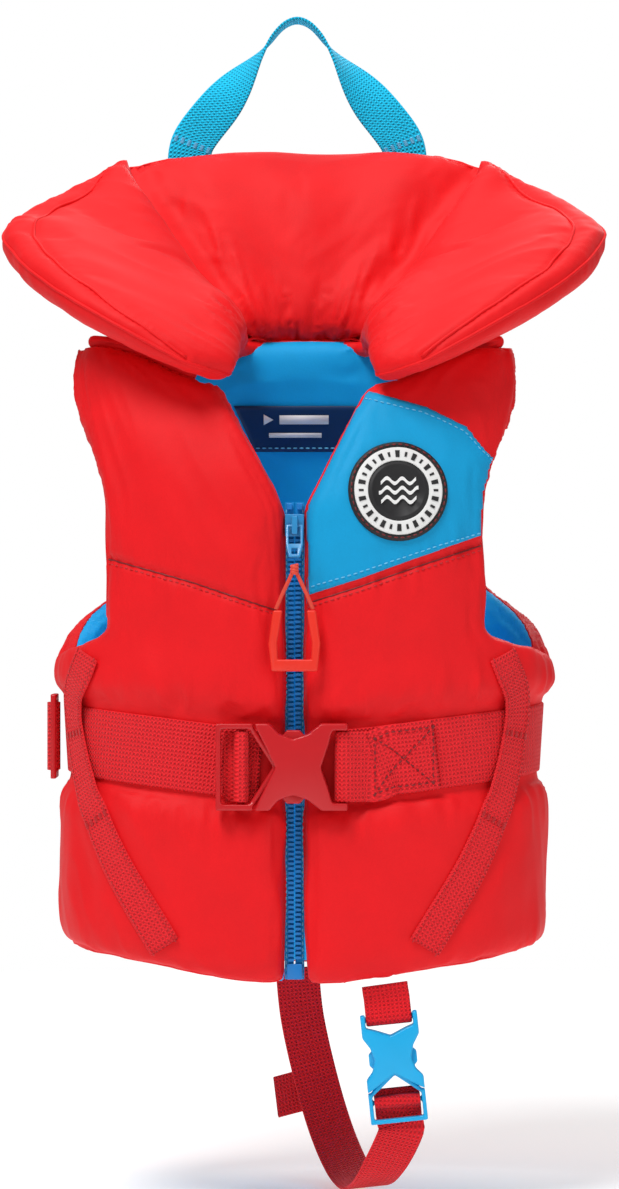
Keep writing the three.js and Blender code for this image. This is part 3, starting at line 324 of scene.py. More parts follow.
def baked(piece):
    """The piece with its modifiers applied, as a plain mesh."""
    bpy.context.view_layer.update()
    graph = bpy.context.evaluated_depsgraph_get()
    mesh = bpy.data.meshes.new_from_object(piece.evaluated_get(graph), depsgraph=graph)
    old = piece.data
    piece.modifiers.clear()
    piece.data = mesh
    bpy.data.meshes.remove(old)
    for polygon in mesh.polygons:
        polygon.use_smooth = True
    return piece


def merged_copy(node):
    """A CAD node's mesh with its triangles joined up."""
    bm = bmesh.new()
    bm.from_mesh(NODES[node].data)
    bmesh.ops.remove_doubles(bm, verts=bm.verts, dist=0.00002)
    return bm


def subdivided(piece, levels):
    modifier = piece.modifiers.new("fine", "SUBSURF")
    modifier.levels = modifier.render_levels = levels
    return baked(piece)


def remeshed(piece, voxel, material):
    """Remeshes a closed form in voxels of a size in millimetres, and evens out their steps."""
    remesh = piece.modifiers.new("remesh", "REMESH")
    remesh.mode = "VOXEL"
    remesh.voxel_size = voxel * MM
    baked(piece)
    piece.data.materials.clear()
    piece.data.materials.append(material)
    relaxed(piece, 3)


def thickened(piece, thickness, offset):
    solid = piece.modifiers.new("thickness", "SOLIDIFY")
    solid.thickness = thickness * MM
    solid.offset = offset
    return baked(piece)


def tree_of(piece):
    return BVHTree.FromPolygons(
        [v.co.copy() for v in piece.data.vertices], [tuple(p.vertices) for p in piece.data.polygons]
    )


def smooth(x, low, high):
    t = min(1.0, max(0.0, (x - low) / (high - low)))
    return t * t * (3 - 2 * t)


def refined(node, material, bevel, body, name=None, segments=3):
    """A CAD piece again with rounded edges, as a moulding has."""
    bm = merged_copy(node)
    bmesh.ops.dissolve_limit(bm, angle_limit=math.radians(3), verts=bm.verts, edges=bm.edges)
    bmesh.ops.recalc_face_normals(bm, faces=bm.faces)
    piece = from_bmesh(name or node + "_moulding", bm, material)
    rounding = piece.modifiers.new("rounding", "BEVEL")
    rounding.width = bevel * MM
    rounding.segments = segments
    rounding.limit_method = "ANGLE"
    rounding.angle_limit = math.radians(28)
    rounding.harden_normals = True
    rounding.use_clamp_overlap = True
    baked(piece)
    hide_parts(node)
    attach(piece, body)
    return piece


def crowned(node, material, body, voxel, rise):
    """A CAD buckle half as a moulding: every edge is soft, and its front face is crowned."""
    piece = from_bmesh(node + "_moulding", merged_copy(node), material)
    remeshed(piece, voxel, material)
    low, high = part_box(node)
    middle, half = (low + high) / 2, (high - low) / 2
    for vertex in piece.data.vertices:
        if vertex.normal.y < -0.3:
            across = (vertex.co.x - middle.x) / (half.x * 1.1)
            along = (vertex.co.z - middle.z) / (half.z * 1.1)
            front = smooth(-vertex.co.y, -middle.y, -low.y)
            vertex.co.y -= rise * MM * (1 - across**2) * (1 - along**2) * front
    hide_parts(node)
    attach(piece, body)
    return piece


# ---- Camera, lights and stage --------------------------------------------------------------------


def add_camera():
    distance = 2.5
    view_height = 0.6658
    camera = bpy.data.cameras.new("camera")
    camera.sensor_width = 36.0
    camera.lens = camera.sensor_width * distance / view_height
    holder = bpy.data.objects.new("camera", camera)
    holder.location = (0.0031, -distance, 0.199)
    holder.rotation_euler = (math.pi / 2, 0.0, 0.0)
    bpy.context.scene.collection.objects.link(holder)
    bpy.context.scene.camera = holder


def add_light(name, place, target, size, power):
    light = bpy.data.lights.new(name, "AREA")
    light.shape = "DISK"
    light.size = size
    light.energy = power
    holder = bpy.data.objects.new(name, light)
    holder.location = place
    holder.rotation_mode = "QUATERNION"
    holder.rotation_quaternion = (Vector(target) - Vector(place)).to_track_quat("-Z", "Y")
    bpy.context.scene.collection.objects.link(holder)


def add_stage():
    """A wide pale floor, a white room and soft lights."""
    low = CAD_BOX[0].z - 0.004
    radius, sides = 1.5, 72
    vertices = [
        (radius * math.cos(2 * math.pi * k / sides), radius * math.sin(2 * math.pi * k / sides), low)
        for k in range(sides)
    ]
    paper, _, shader = finish_of("pale_studio_paper", 0.95, 1.1)
    shader.inputs["Base Color"].default_value = linear("f4f4f4")
    shader.inputs["Emission Color"].default_value = linear("ffffff")
    shader.inputs["Emission Strength"].default_value = 0.22
    floor = new_piece("stage_floor", vertices, [tuple(range(sides))], paper)
    world = bpy.data.worlds.new("studio")
    bpy.context.scene.world = world
    world.use_nodes = True
    tree = world.node_tree
    seen = add(tree, "ShaderNodeLightPath").outputs["Is Camera Ray"]
    strength = add(tree, "ShaderNodeMapRange", _0=seen, _3=0.3, _4=1.0)
    room = tree.nodes["Background"]
    room.inputs[0].default_value = linear("ffffff")
    tree.links.new(strength.outputs[0], room.inputs[1])
    middle = (0.0, 0.0, 0.2)
    add_light("key_light", (-0.8, -1.3, 2.5), middle, 1.1, 52.0)
    add_light("fill_light", (1.6, -1.9, 0.9), middle, 1.6, 7.0)
    add_light("top_light", (0.0, 0.3, 2.2), middle, 1.4, 9.0)
    add_light("back_light", (0.6, 1.9, 1.5), middle, 1.4, 16.0)
    scene = bpy.context.scene
    scene.view_settings.view_transform = "Standard"
    scene.view_settings.look = "None"


# ---- Padded pieces -------------------------------------------------------------------------------


def lerp(a, b, t):
    return a + (b - a) * t


def share_up(z):
    return min(1.0, max(0.0, (z - ZIP_TOP_Z) / (SHOULDER_Z - ZIP_TOP_Z)))


def torso_size(z):
    """Half the width and half the depth of the vest's reference section at a height."""
    wide = TORSO_HALF_WIDTH + 4.0 * math.exp(-(((z - 150.0) / 20.0) ** 2))
    return wide, lerp(TORSO_HALF_DEPTH, 50.0, share_up(z) ** 1.5)


def torso_place(angle, z):
    wide, deep = torso_size(z)
    s, c = abs(math.sin(angle)) / wide, abs(math.cos(angle)) / deep
    r = (s**SECTION_POWER + c**SECTION_POWER) ** (-1 / SECTION_POWER)
    return Vector((r * math.sin(angle), -r * math.cos(angle), z))


def torso_point(angle, z, offset=0.0):
    """A point of the vest's reference surface in metres, lifted by offset, and the normal there."""
    step = 0.01  # radians, and millimetres up
    round_way = torso_place(angle + step, z) - torso_place(angle - step, z)
    up = torso_place(angle, z + step) - torso_place(angle, z - step)
    normal = round_way.cross(up).normalized()
    return (torso_place(angle, z) + normal * offset) * MM, normal


def front_angle(x, z):
    """The angle at which the front of the torso reaches x."""
    wide, deep = torso_size(z)
    y = deep * max(0.0, 1 - (abs(x) / wide) ** SECTION_POWER) ** (1 / SECTION_POWER)
    return math.atan2(x, y)


def hem_z(angle):
    return lerp(HEM_FRONT_Z, 6.0, math.sin(angle) ** 2)


def belt_z(angle):
    return BELT_SIDE_Z if math.cos(angle) < 0 else lerp(BELT_FRONT_Z, BELT_SIDE_Z, math.sin(angle) ** 2)


def edge_rise(distance):
    """How far a padded edge has risen at a distance from its rim: a quarter circle."""
    left = 1 - min(1.0, max(0.0, distance / EDGE_ROLL))
    return math.sqrt(max(0.0, 1 - left * left))


def belt_dent(angle, z):
    flat = WAIST_WEB / 2 + 4
    return 6.0 * (1 - smooth(abs(z - belt_z(angle)), flat, flat + 10))


def front_inner(z):
    return lerp(5.6, 50.0, share_up(z))


def front_outer(z):
    return lerp(105.0, 124.0, smooth(z, ZIP_TOP_Z, SHOULDER_Z - 22))


def front_top(x):
    return SHOULDER_Z - 20 * (1 - smooth(abs(x), 45.0, 104.0))


def between(stops, share):
    """A value at a share of the way through a list of stops."""
    place = share * (len(stops) - 1)
    k = min(len(stops) - 2, int(place))
    return lerp(stops[k], stops[k + 1], place - k)


def front_layers(side):
    """The cover and the lining of a front panel, as two grids of points."""

    def outer(z):
        open_angle = front_angle(ZIP_X + side * front_outer(z), z) * side
        return lerp(math.pi / 2 - 0.0023, open_angle, smooth(z, 162, 178))

    def spot(u, v):
        z, angle = SHOULDER_Z * v, 0.0
        for _ in range(10):
            inner = front_angle(ZIP_X + side * front_inner(z), z) * side
            angle = lerp(inner, outer(z), u) * side
            x = torso_place(angle, z).x - ZIP_X
            z = between([hem_z(angle), 60.0, 128.0, 170.0, ZIP_TOP_Z, front_top(x)], v)
        return angle, z

    def layers(angle, z):
        x = (torso_place(angle, z).x - ZIP_X) * side
        from_zip = x - front_inner(z)
        from_side = (outer(z) - angle * side) * TORSO_HALF_WIDTH
        rise = edge_rise(from_zip) * edge_rise(from_side)
        rise *= edge_rise(z - hem_z(angle)) * edge_rise(front_top(x) - z)
        drop = lerp(7.0, 12.0, min(1.0, max(0.0, 1 - from_zip / EDGE_ROLL)))
        face = 3.0 - drop * (1 - rise) - belt_dent(angle, z) * rise
        full = lerp(FRONT_FOAM, SHOULDER_FOAM, smooth(z, SHOULDER_Z - 75, SHOULDER_Z - 25))
        return face, face - lerp(RIM_THICKNESS, full, rise)

    return spot, layers


def back_layers():
    """The same for the back panel."""

    def half_angle(z):
        x = lerp(98.0, 122.0, smooth(z, ZIP_TOP_Z, SHOULDER_Z - 22))
        return lerp(math.pi / 2 + 0.0023, math.pi - front_angle(x, z), smooth(z, 162, 214))

    def top(angle, z):
        return SHOULDER_Z + 5.0 * (1 - smooth(abs(torso_place(angle, z).x), 26.0, 50.0))

    def spot(u, v):
        z, angle = SHOULDER_Z * v, 0.0
        for _ in range(10):
            edge = half_angle(z)
            angle = lerp(edge, 2 * math.pi - edge, u)
            z = between([hem_z(angle), 60.0, 120.0, 170.0, 240.0, top(angle, z)], v)
        return angle, z

    def layers(angle, z):
        edge = half_angle(z)
        rise = edge_rise((angle - edge) * TORSO_HALF_WIDTH)
        rise *= edge_rise((2 * math.pi - edge - angle) * TORSO_HALF_WIDTH)
        rise *= edge_rise(z - hem_z(angle)) * edge_rise(top(angle, z) - z)
        face = 3.0 - 7.0 * (1 - rise) - belt_dent(angle, z) * rise
        return face, face - lerp(RIM_THICKNESS, BACK_FOAM, rise)

    return spot, layers


def eased(share):
    """Shares that crowd towards both ends, where the edges are rounded."""
    return 0.5 - 0.5 * math.cos(math.pi * share) * (0.25 + 0.75 * abs(math.cos(math.pi * share)))


def panel_grids(shape, columns, rows):
    spot, layers = shape
    outside, inside = [], []
    for j in range(rows):
        for i in range(columns):
            angle, z = spot(eased(i / (columns - 1)), eased(j / (rows - 1)))
            face, lining = layers(angle, z)
            outside.append(torso_point(angle, z, face)[0])
            inside.append(torso_point(angle, z, lining)[0])
    return outside, inside


def padded_form(name, outside, inside, columns, rows, material, voxel):
    """One closed form between two grids, voxel remeshed, with its lining side marked."""
    first = len(outside)
    quads = grid_faces(columns, rows)
    faces = []
    for a, b, c, d in quads:
        faces += [(a, b, c, d), (first + a, first + d, first + c, first + b)]
    rim = [*range(columns)]
    rim += [j * columns + columns - 1 for j in range(1, rows)]
    rim += [(rows - 1) * columns + i for i in range(columns - 2, -1, -1)]
    rim += [j * columns for j in range(rows - 2, 0, -1)]
    for k, a in enumerate(rim):
        b = rim[(k + 1) % len(rim)]
        faces.append((a, first + a, first + b, b))
    piece = new_piece(name, [*outside, *inside], faces, material)
    outward(piece)
    outer_tree = BVHTree.FromPolygons(outside, quads)
    inner_tree = BVHTree.FromPolygons(inside, quads)
    remeshed(piece, voxel, material)
    mark = piece.data.attributes.new("lining", "FLOAT", "POINT")
    for k, vertex in enumerate(piece.data.vertices):
        near_cover = outer_tree.find_nearest(vertex.co)[3]
        near_lining = inner_tree.find_nearest(vertex.co)[3]
        mark.data[k].value = min(1.0, max(0.0, 0.5 + (near_cover - near_lining) / 0.004))
    return piece, [[(outside[k] + inside[k]) / 2 for k in rim]]


def swollen(piece, cap, hold, rim, pressure=4.0):
    """Inflates the padding as cloth inside its sewn rim. cap(point) is how far it may move, in metres."""
    rest = [v.co.copy() for v in piece.data.vertices]
    seam = KDTree(len(rim))
    for k, point in enumerate(rim):
        seam.insert(point, k)
    seam.balance()
    group = piece.vertex_groups.new(name="sewn")
    for k, point in enumerate(rest):
        weight = max(hold(point), 1 - smooth(seam.find(point)[2] / MM, 3, 8))
        if weight > 0.01:
            group.add([k], weight, "REPLACE")
    cloth = piece.modifiers.new("cloth", "CLOTH")
    settings = cloth.settings
    settings.quality = 5
    settings.mass = 0.3
    settings.use_pressure = True
    settings.uniform_pressure_force = pressure
    settings.vertex_group_mass = "sewn"
    settings.pin_stiffness = 1.0
    settings.tension_stiffness = settings.compression_stiffness = 12.0
    settings.bending_stiffness = 0.4
    settings.effector_weights.gravity = 0.0
    cloth.collision_settings.use_collision = False
    scene = bpy.context.scene
    for step in range(1, 21):
        scene.frame_set(step)
    graph = bpy.context.evaluated_depsgraph_get()
    moved = [v.co.copy() for v in piece.evaluated_get(graph).data.vertices]
    piece.modifiers.clear()
    piece.vertex_groups.clear()
    scene.frame_set(1)
    for vertex, start, end in zip(piece.data.vertices, rest, moved):
        move = end - start
        limit = cap(start)
        if move.length > limit:
            move *= limit / move.length
        vertex.co = start + move
    piece.data.update()
    return subdivided(piece, 1)


def relaxed(piece, rounds):
    """Evens out the steps that a voxel remesh leaves."""
    bm = bmesh.new()
    bm.from_mesh(piece.data)
    for _ in range(rounds):
        bmesh.ops.smooth_vert(
            bm, verts=bm.verts, factor=0.5, use_axis_x=True, use_axis_y=True, use_axis_z=True
        )
    bm.to_mesh(piece.data)
    bm.free()


def displaced(piece, lift):
    """Moves each vertex along its normal by lift(point, normal) metres."""
    normals = [v.normal.copy() for v in piece.data.vertices]
    for vertex, normal in zip(piece.data.vertices, normals):
        vertex.co += normal * lift(vertex.co, normal)
    piece.data.update()


def wave_noise(point, along, short, long, seed):
    """Ridged noise that runs lengthwise along a direction: -1 to 1, for creases in cloth."""
    lengthwise = point.dot(along)
    rest = point - along * lengthwise
    sample = rest / (short * MM) + along * (lengthwise / (long * MM)) + Vector((seed, 0, -seed))
    return noise.noise(sample)


def crease(point, along, short, long, seed):
    return 1 - 2.2 * abs(wave_noise(point, along, short, long, seed))


def line_distance(x, z, a, b):
    """Distance in the front view from a point to the stretch from a to b, and the share along it."""
    dx, dz = b[0] - a[0], b[1] - a[1]
    t = max(0.0, min(1.0, ((x - a[0]) * dx + (z - a[1]) * dz) / (dx * dx + dz * dz)))
    return math.hypot(x - a[0] - t * dx, z - a[1] - t * dz), t


# Seams of the front, in the front view: across the wearer's right chest, and under the blue yoke.
RIGHT_SEAM = [(-109, 219), (-62, 206), (-14, 190)]
YOKE_LOW = [(3, 198.5), (30, 207), (60, 217.5), (101, 231)]
YOKE_HIGH = [(36, 310), (70, 301), (94, 290), (112, 274)]
DIAGONAL_ROUTE = [(113, 166), (121, 142), (119, 118), (113, 92), (97, 53), (70, 8)]


def seam_groove(x, z, seam, depth, width):
    near = min(line_distance(x, z, a, b)[0] for a, b in zip(seam, seam[1:]))
    return -depth * math.exp(-((near / width) ** 2))


def diagonal_nearness(x, z):
    side = abs(x - ZIP_X)
    near = min(line_distance(side, z, a, b)[0] for a, b in zip(DIAGONAL_ROUTE, DIAGONAL_ROUTE[1:]))
    return 1 - smooth(near, 8, 17)


def belt_height(point):
    """Height of the belt's middle at a place round the vest."""
    return belt_z(math.atan2(point.x, -point.y))


def belt_nearness(point, inner, outer):
    return 1 - smooth(abs(point.z / MM - belt_height(point)), inner, outer)


def panel_cap(point):
    """The foam swells up to PANEL_SWELL, less at the shoulder, and not under a strap or the belt."""
    tight = belt_nearness(point, 24, 42)
    if point.y < 0:
        tight = max(tight, diagonal_nearness(point.x / MM, point.z / MM))
    shoulder = smooth(point.z / MM, 295, 330)
    return PANEL_SWELL * (1 - tight) * (1 - 0.7 * shoulder)


def panel_hold(point):
    return 0.9 * belt_nearness(point, 20, 30)


def panel_creases(point, normal):
    """Soft creases: above and below the belt, at the seams, and broad rolls in the foam."""
    x, z = point.x / MM, point.z / MM
    up = Vector((0, 0, 1))
    level = Vector((normal.y, -normal.x, 0)).normalized() if abs(normal.z) < 0.95 else Vector((1, 0, 0))
    off_belt = abs(z - belt_height(point))
    puckers = crease(point, up, 11, 60, 3.1) * math.exp(-(((off_belt - 30) / 16) ** 2))
    broad = wave_noise(point, level, 34, 90, 8.4)
    slant = (up + 0.7 * level).normalized()
    folds = crease(point, slant, 20, 120, 5.7)
    lift = 1.4 * puckers + 1.8 * broad + 0.6 * folds
    lift *= 1 - belt_nearness(point, 22, 27)
    if point.y < 0:
        lift *= 1 - 0.8 * diagonal_nearness(x, z)
        if abs(normal.z) < 0.9 and normal.y < 0:
            seam = RIGHT_SEAM if x < ZIP_X else [(px, pz - 3) for px, pz in YOKE_LOW]
            lift += seam_groove(x, z, seam, 1.9, 2.1) + seam_groove(x, z, seam, 1.6, 13.0)
            near = -seam_groove(x, z, seam, 1.0, 11.0)
            lift += 1.4 * near * crease(point, up, 9, 50, 1.3)
    return lift * MM


def add_panel(name, prefix, shape, columns=46, rows=76):
    outside, inside = panel_grids(shape, columns, rows)
    piece, rims = padded_form(name, outside, inside, columns, rows, RED_NYLON, 3.6)
    swollen(piece, panel_cap, panel_hold, rims[0])
    displaced(piece, panel_creases)
    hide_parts(prefix + "_shell", prefix + "_foam", prefix + "_lining")
    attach(piece, "vest")
    return piece, rims


add_camera()
add_stage()
left_panel, left_rims = add_panel("left_front_panel", "left_front", front_layers(1))
right_panel, right_rims = add_panel("right_front_panel", "right_front", front_layers(-1))
back_panel, back_rims = add_panel("back_panel", "back", back_layers(), 76, 76)
TREES = {"left": tree_of(left_panel), "right": tree_of(right_panel), "back": tree_of(back_panel)}


# ---- Placing things on the cloth -----------------------------------------------------------------


def on_front(x, z, lift=0.0, side=None):
    """The point of the front panels at x, z of the front view, and the cloth's normal there."""
    sides = [side] if side else ["left", "right"]
    best = None
    for key in sides:
        hit = TREES[key].ray_cast(Vector((x * MM, -0.4, z * MM)), Vector((0, 1, 0)))
        if hit[0] is not None and (best is None or hit[0].y < best[0].y):
            best = hit
    if best is None:
        return None
    normal = best[1] if best[1].y < 0 else -best[1]
    return best[0] + normal * lift * MM, normal


def resampled(points, step):
    """Points spaced evenly along a line, step millimetres apart."""
    lengths = [0.0]
    for a, b in zip(points, points[1:]):
        lengths.append(lengths[-1] + (b - a).length)
    total = lengths[-1]
    count = max(2, round(total / (step * MM)) + 1)
    result, k = [], 0
    for n in range(count):
        target = total * n / (count - 1)
        while k < len(points) - 2 and lengths[k + 1] < target:
            k += 1
        span = lengths[k + 1] - lengths[k] or 1.0
        result.append(points[k].lerp(points[k + 1], (target - lengths[k]) / span))
    return result


def curved(points, step):
    """A smooth line through given points."""
    result = []
    count = len(points)
    for k in range(count - 1):
        a, b, c, d = (points[max(0, k - 1)], points[k], points[k + 1], points[min(count - 1, k + 2)])
        for n in range(12):
            t = n / 12
            square, cube = 2 * a - 5 * b + 4 * c - d, 3 * b - a - 3 * c + d
            result.append(0.5 * (2 * b + (c - a) * t + square * t**2 + cube * t**3))
    result.append(points[-1])
    return resampled(result, step)


# ---- Stitches ------------------------------------------------------------------------------------

STITCHING = {}


def sew(points, thread, body="vest"):
    """Keeps a line of stitches, made with all the others of its thread and body at the end."""
    line = [p for p in points if p is not None]
    if len(line) > 1:
        STITCHING.setdefault((thread.name, body), []).append(line)


def front_places(route, step):
    points = resampled([Vector((x, 0, z)) * MM for x, z in route], step)
    return [(p.x / MM, p.z / MM) for p in points]


def sew_front(route, thread, lift=0.3, step=3.0):
    hits = [on_front(x, z, lift) for x, z in front_places(route, step)]
    sew([hit[0] for hit in hits if hit], thread)


def socket_id(group, name):
    return next(i.identifier for i in group.interface.items_tree if i.name == name and i.in_out == "INPUT")


def stitch_tree(thread):
    """Geometry nodes that lay one rounded stitch after another along a line."""
    group = bpy.data.node_groups.new("stitch_row_" + thread.name, "GeometryNodeTree")
    face = group.interface
    face.new_socket("Line", in_out="INPUT", socket_type="NodeSocketGeometry")
    for name, value in (("Pitch", 0.0035), ("Length", 0.0024), ("Radius", 0.0003)):
        face.new_socket(name, in_out="INPUT", socket_type="NodeSocketFloat").default_value = value
    face.new_socket("Stitches", in_out="OUTPUT", socket_type="NodeSocketGeometry")
    start = group.nodes.new("NodeGroupInput")
    end = group.nodes.new("NodeGroupOutput")
    line = add(group, "GeometryNodeMeshToCurve", Mesh=start.outputs[0])
    spread = add(group, "GeometryNodeResampleCurve", {"mode": "LENGTH"}, Curve=line.outputs[0])
    group.links.new(start.outputs["Pitch"], spread.inputs["Length"])
    tangent = group.nodes.new("GeometryNodeInputTangent")
    turn = add(group, "FunctionNodeAlignRotationToVector", {"axis": "Z"}, Vector=tangent.outputs[0])
    bead = add(group, "GeometryNodeMeshUVSphere", Segments=6, Rings=5, Radius=1.0)
    half = add(group, "ShaderNodeMath", {"operation": "MULTIPLY"}, _0=start.outputs["Length"], _1=0.5)
    size = add(group, "ShaderNodeCombineXYZ", X=start.outputs["Radius"], Y=start.outputs["Radius"])
    group.links.new(half.outputs[0], size.inputs[2])
    shaped = add(group, "GeometryNodeTransform", Geometry=bead.outputs[0], Scale=size.outputs[0])
    rows = add(group, "GeometryNodeInstanceOnPoints", Points=spread.outputs[0], Instance=shaped.outputs[0])
    group.links.new(turn.outputs[0], rows.inputs["Rotation"])
    real = add(group, "GeometryNodeRealizeInstances", Geometry=rows.outputs[0])
    coloured = add(group, "GeometryNodeSetMaterial", Geometry=real.outputs[0], Material=thread)
    group.links.new(coloured.outputs[0], end.inputs[0])
    return group


def sewn_rows():
    """All the stitching, one mesh for each thread and body."""
    for (thread_name, body), lines in STITCHING.items():
        thread = bpy.data.materials[thread_name]
        vertices, edges = [], []
        for line in lines:
            first = len(vertices)
            vertices += [tuple(p) for p in line]
            edges += [(first + k, first + k + 1) for k in range(len(line) - 1)]
        mesh = bpy.data.meshes.new("stitch_lines")
        mesh.from_pydata(vertices, edges, [])
        piece = bpy.data.objects.new(f"stitching_{thread_name}_{body}", mesh)
        bpy.context.scene.collection.objects.link(piece)
        group = stitch_tree(thread)
        modifier = piece.modifiers.new("stitches", "NODES")
        modifier.node_group = group
        sizes = {"Pitch": STITCH_LENGTH + STITCH_GAP, "Length": STITCH_LENGTH, "Radius": STITCH_RADIUS}
        for name, value in sizes.items():
            modifier[socket_id(group, name)] = value * MM
        baked(piece)
        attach(piece, body)


# ---- Webbing and cords ---------------------------------------------------------------------------


def webbing(name, path, faces, width, material, body, nodes=(), thickness=WEB_THICKNESS, wander=0.0):
    """A woven strap with rounded selvedges. Its UV map holds millimetres across and along."""
    half, thick = width * MM / 2, thickness * MM / 2
    edge = min(1.2 * MM, half / 3)
    section = [
        (-half, 0.0), (-half + 0.35 * edge, thick * 0.8), (-half + edge, thick), (-half * 0.5, thick),
        (0.0, thick), (half * 0.5, thick), (half - edge, thick), (half - 0.35 * edge, thick * 0.8),
        (half, 0.0), (half - 0.35 * edge, -thick * 0.8), (half - edge, -thick), (half * 0.5, -thick),
        (0.0, -thick), (-half * 0.5, -thick), (-half + edge, -thick), (-half + 0.35 * edge, -thick * 0.8),
    ]
    ring = len(section)
    vertices, faces_out, run = [], [], 0.0
    runs = []
    for k, point in enumerate(path):
        before, after = path[max(0, k - 1)], path[min(len(path) - 1, k + 1)]
        along = (after - before).normalized()
        face = (faces[k] - along * faces[k].dot(along)).normalized()
        across = along.cross(face).normalized()
        if k:
            run += (point - path[k - 1]).length
        runs.append(run)
        ripple = wander * MM * noise.noise(Vector((run / 0.03, width, 0.5)))
        vertices += [point + across * u + face * (w + ripple) for u, w in section]
    for k in range(len(path) - 1):
        for i in range(ring):
            n = (i + 1) % ring
            faces_out.append((k * ring + i, (k + 1) * ring + i, (k + 1) * ring + n, k * ring + n))
    faces_out.append(tuple(range(ring)))
    last = (len(path) - 1) * ring
    faces_out.append(tuple(last + i for i in reversed(range(ring))))
    piece = new_piece(name, vertices, faces_out, material)
    weave = piece.data.uv_layers.new(name="weave")
    for polygon in piece.data.polygons:
        for loop in polygon.loop_indices:
            vertex = piece.data.loops[loop].vertex_index
            k, i = divmod(vertex, ring)
            weave.data[loop].uv = (section[i][0] / MM, runs[k] / MM)
    outward(piece)
    if nodes:
        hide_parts(*nodes)
    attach(piece, body)
    return piece


def strap_edges(path, faces, width, inset, lift):
    """The two lines that run along a strap, inset from its selvedges, for its stitches."""
    lines = []
    for sign in (-1, 1):
        line = []
        for k, point in enumerate(path):
            along = heading(path, k)
            across = along.cross(faces[k]).normalized()
            aside = across * sign * (width / 2 - inset) * MM
            line.append(point + aside + faces[k].normalized() * lift * MM)
        lines.append(line)
    return lines


def round_cord(name, path, radius, material, sides=10):
    """A closed tube along a line, with flat ends."""
    vertices = []
    reference = Vector((0, 1, 0))
    for k, point in enumerate(path):
        along = heading(path, k)
        side = along.cross(reference)
        side = side.normalized() if side.length > 0.05 else along.cross(Vector((1, 0, 0))).normalized()
        up = side.cross(along)
        vertices += ring_round(point, side, up, radius, sides)
    faces = ring_faces(len(path), sides)
    faces.append(tuple(reversed(range(sides))))
    last = (len(path) - 1) * sides
    faces.append(tuple(last + i for i in range(sides)))
    return new_piece(name, vertices, faces, material)


def piping(name, rim, tree, radius, material, body, lift=0.1, smoothing=6):
    """A sewn edge round a padded piece: a closed cord that follows the rim on the cloth."""
    line = resampled([*rim, rim[0]], 4.0)[:-1]
    for _ in range(smoothing):
        line = [
            (line[k - 1] + line[k] * 2 + line[(k + 1) % len(line)]) / 4 for k in range(len(line))
        ]
    placed = []
    for p in line:
        near, normal = tree.find_nearest(p)[:2]
        placed.append(near + normal * lift * MM)
    sides = 8
    vertices, faces = [], []
    count = len(placed)
    for k, point in enumerate(placed):
        along = (placed[(k + 1) % count] - placed[k - 1]).normalized()
        normal = tree.find_nearest(point)[1]
        side = along.cross(normal).normalized()
        up = side.cross(along)
        vertices += ring_round(point, side, up, radius, sides)
    for k in range(count):
        for i in range(sides):
            n, m = (i + 1) % sides, (k + 1) % count
            faces.append((k * sides + i, k * sides + n, m * sides + n, m * sides + i))
    piece = new_piece(name, vertices, faces, material)
    outward(piece)
    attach(piece, body)
    return placed


def add_edges():
    """The turned seam that closes each panel."""
    for side, rims in (("left", left_rims), ("right", right_rims), ("back", back_rims)):
        piping(f"{side}_panel_seam", rims[0], TREES[side], 0.75, RED_NYLON, "vest", 0.0)


# ---- Waist belt and diagonal straps --------------------------------------------------------------


def add_belt():
    offset = -1.3
    start = front_angle(18.4, BELT_FRONT_Z)
    finish = 2 * math.pi + front_angle(-23.6, BELT_FRONT_Z)
    steps = 190
    path, faces = [], []
    for k in range(steps):
        angle = start + (finish - start) * k / (steps - 1)
        point, normal = torso_point(angle, belt_z(angle), offset)
        path.append(point)
        faces.append(normal)
    webbing(
        "waist_belt_webbing", path, faces, WAIST_WEB, RED_WEBBING, "vest",
        ["waist_belt"], wander=0.3,
    )


def strap_on_front(name, side):
    """A strap sewn on the cloth from the armhole to the hem, over the belt."""
    route = curved([Vector((x, 0, z)) * MM for x, z in DIAGONAL_ROUTE], 3.0)
    path, faces = [], []
    for p in route:
        x = ZIP_X + side * p.x / MM
        z = p.z / MM
        angle = front_angle(x, z)
        over = 1 - smooth(abs(z - belt_z(angle)), 18, 44)
        lift = 4.4 + (1.1 - 4.4) * over
        point, normal = torso_point(angle, z, lift)
        hit = on_front(x, z)
        if hit and over < 0.35:
            point = hit[0] + hit[1] * 0.9 * MM
            normal = hit[1]
        path.append(point)
        faces.append(normal)
    for _ in range(3):
        faces = [
            (faces[max(0, k - 1)] + faces[k] * 2 + faces[min(len(faces) - 1, k + 1)]).normalized()
            for k in range(len(faces))
        ]
        path = [
            path[k] if k in (0, len(path) - 1) else (path[k - 1] + path[k] * 2 + path[k + 1]) / 4
            for k in range(len(path))
        ]
    webbing(name + "_webbing", path, faces, DIAGONAL_WEB, RED_WEBBING, "vest", [name], 1.4)
    for line in strap_edges(path, faces, DIAGONAL_WEB, 2.0, 0.85):
        sew(line, RED_THREAD)
    for share in (0.26, 0.55):
        bartack(path, faces, int(share * len(path)), DIAGONAL_WEB - 4)


def bartack(path, faces, k, width, thread=RED_THREAD, body="vest"):
    """A short zigzag of dense stitches across a strap."""
    along = (path[k + 1] - path[k - 1]).normalized()
    across = along.cross(faces[k]).normalized()
    middle = path[k] + faces[k].normalized() * 0.95 * MM
    for offset in (-1.4, -0.7, 0.0, 0.7, 1.4):
        shift = middle + along * offset * MM
        sew([shift - across * width * MM / 2, shift + across * width * MM / 2], thread, body)


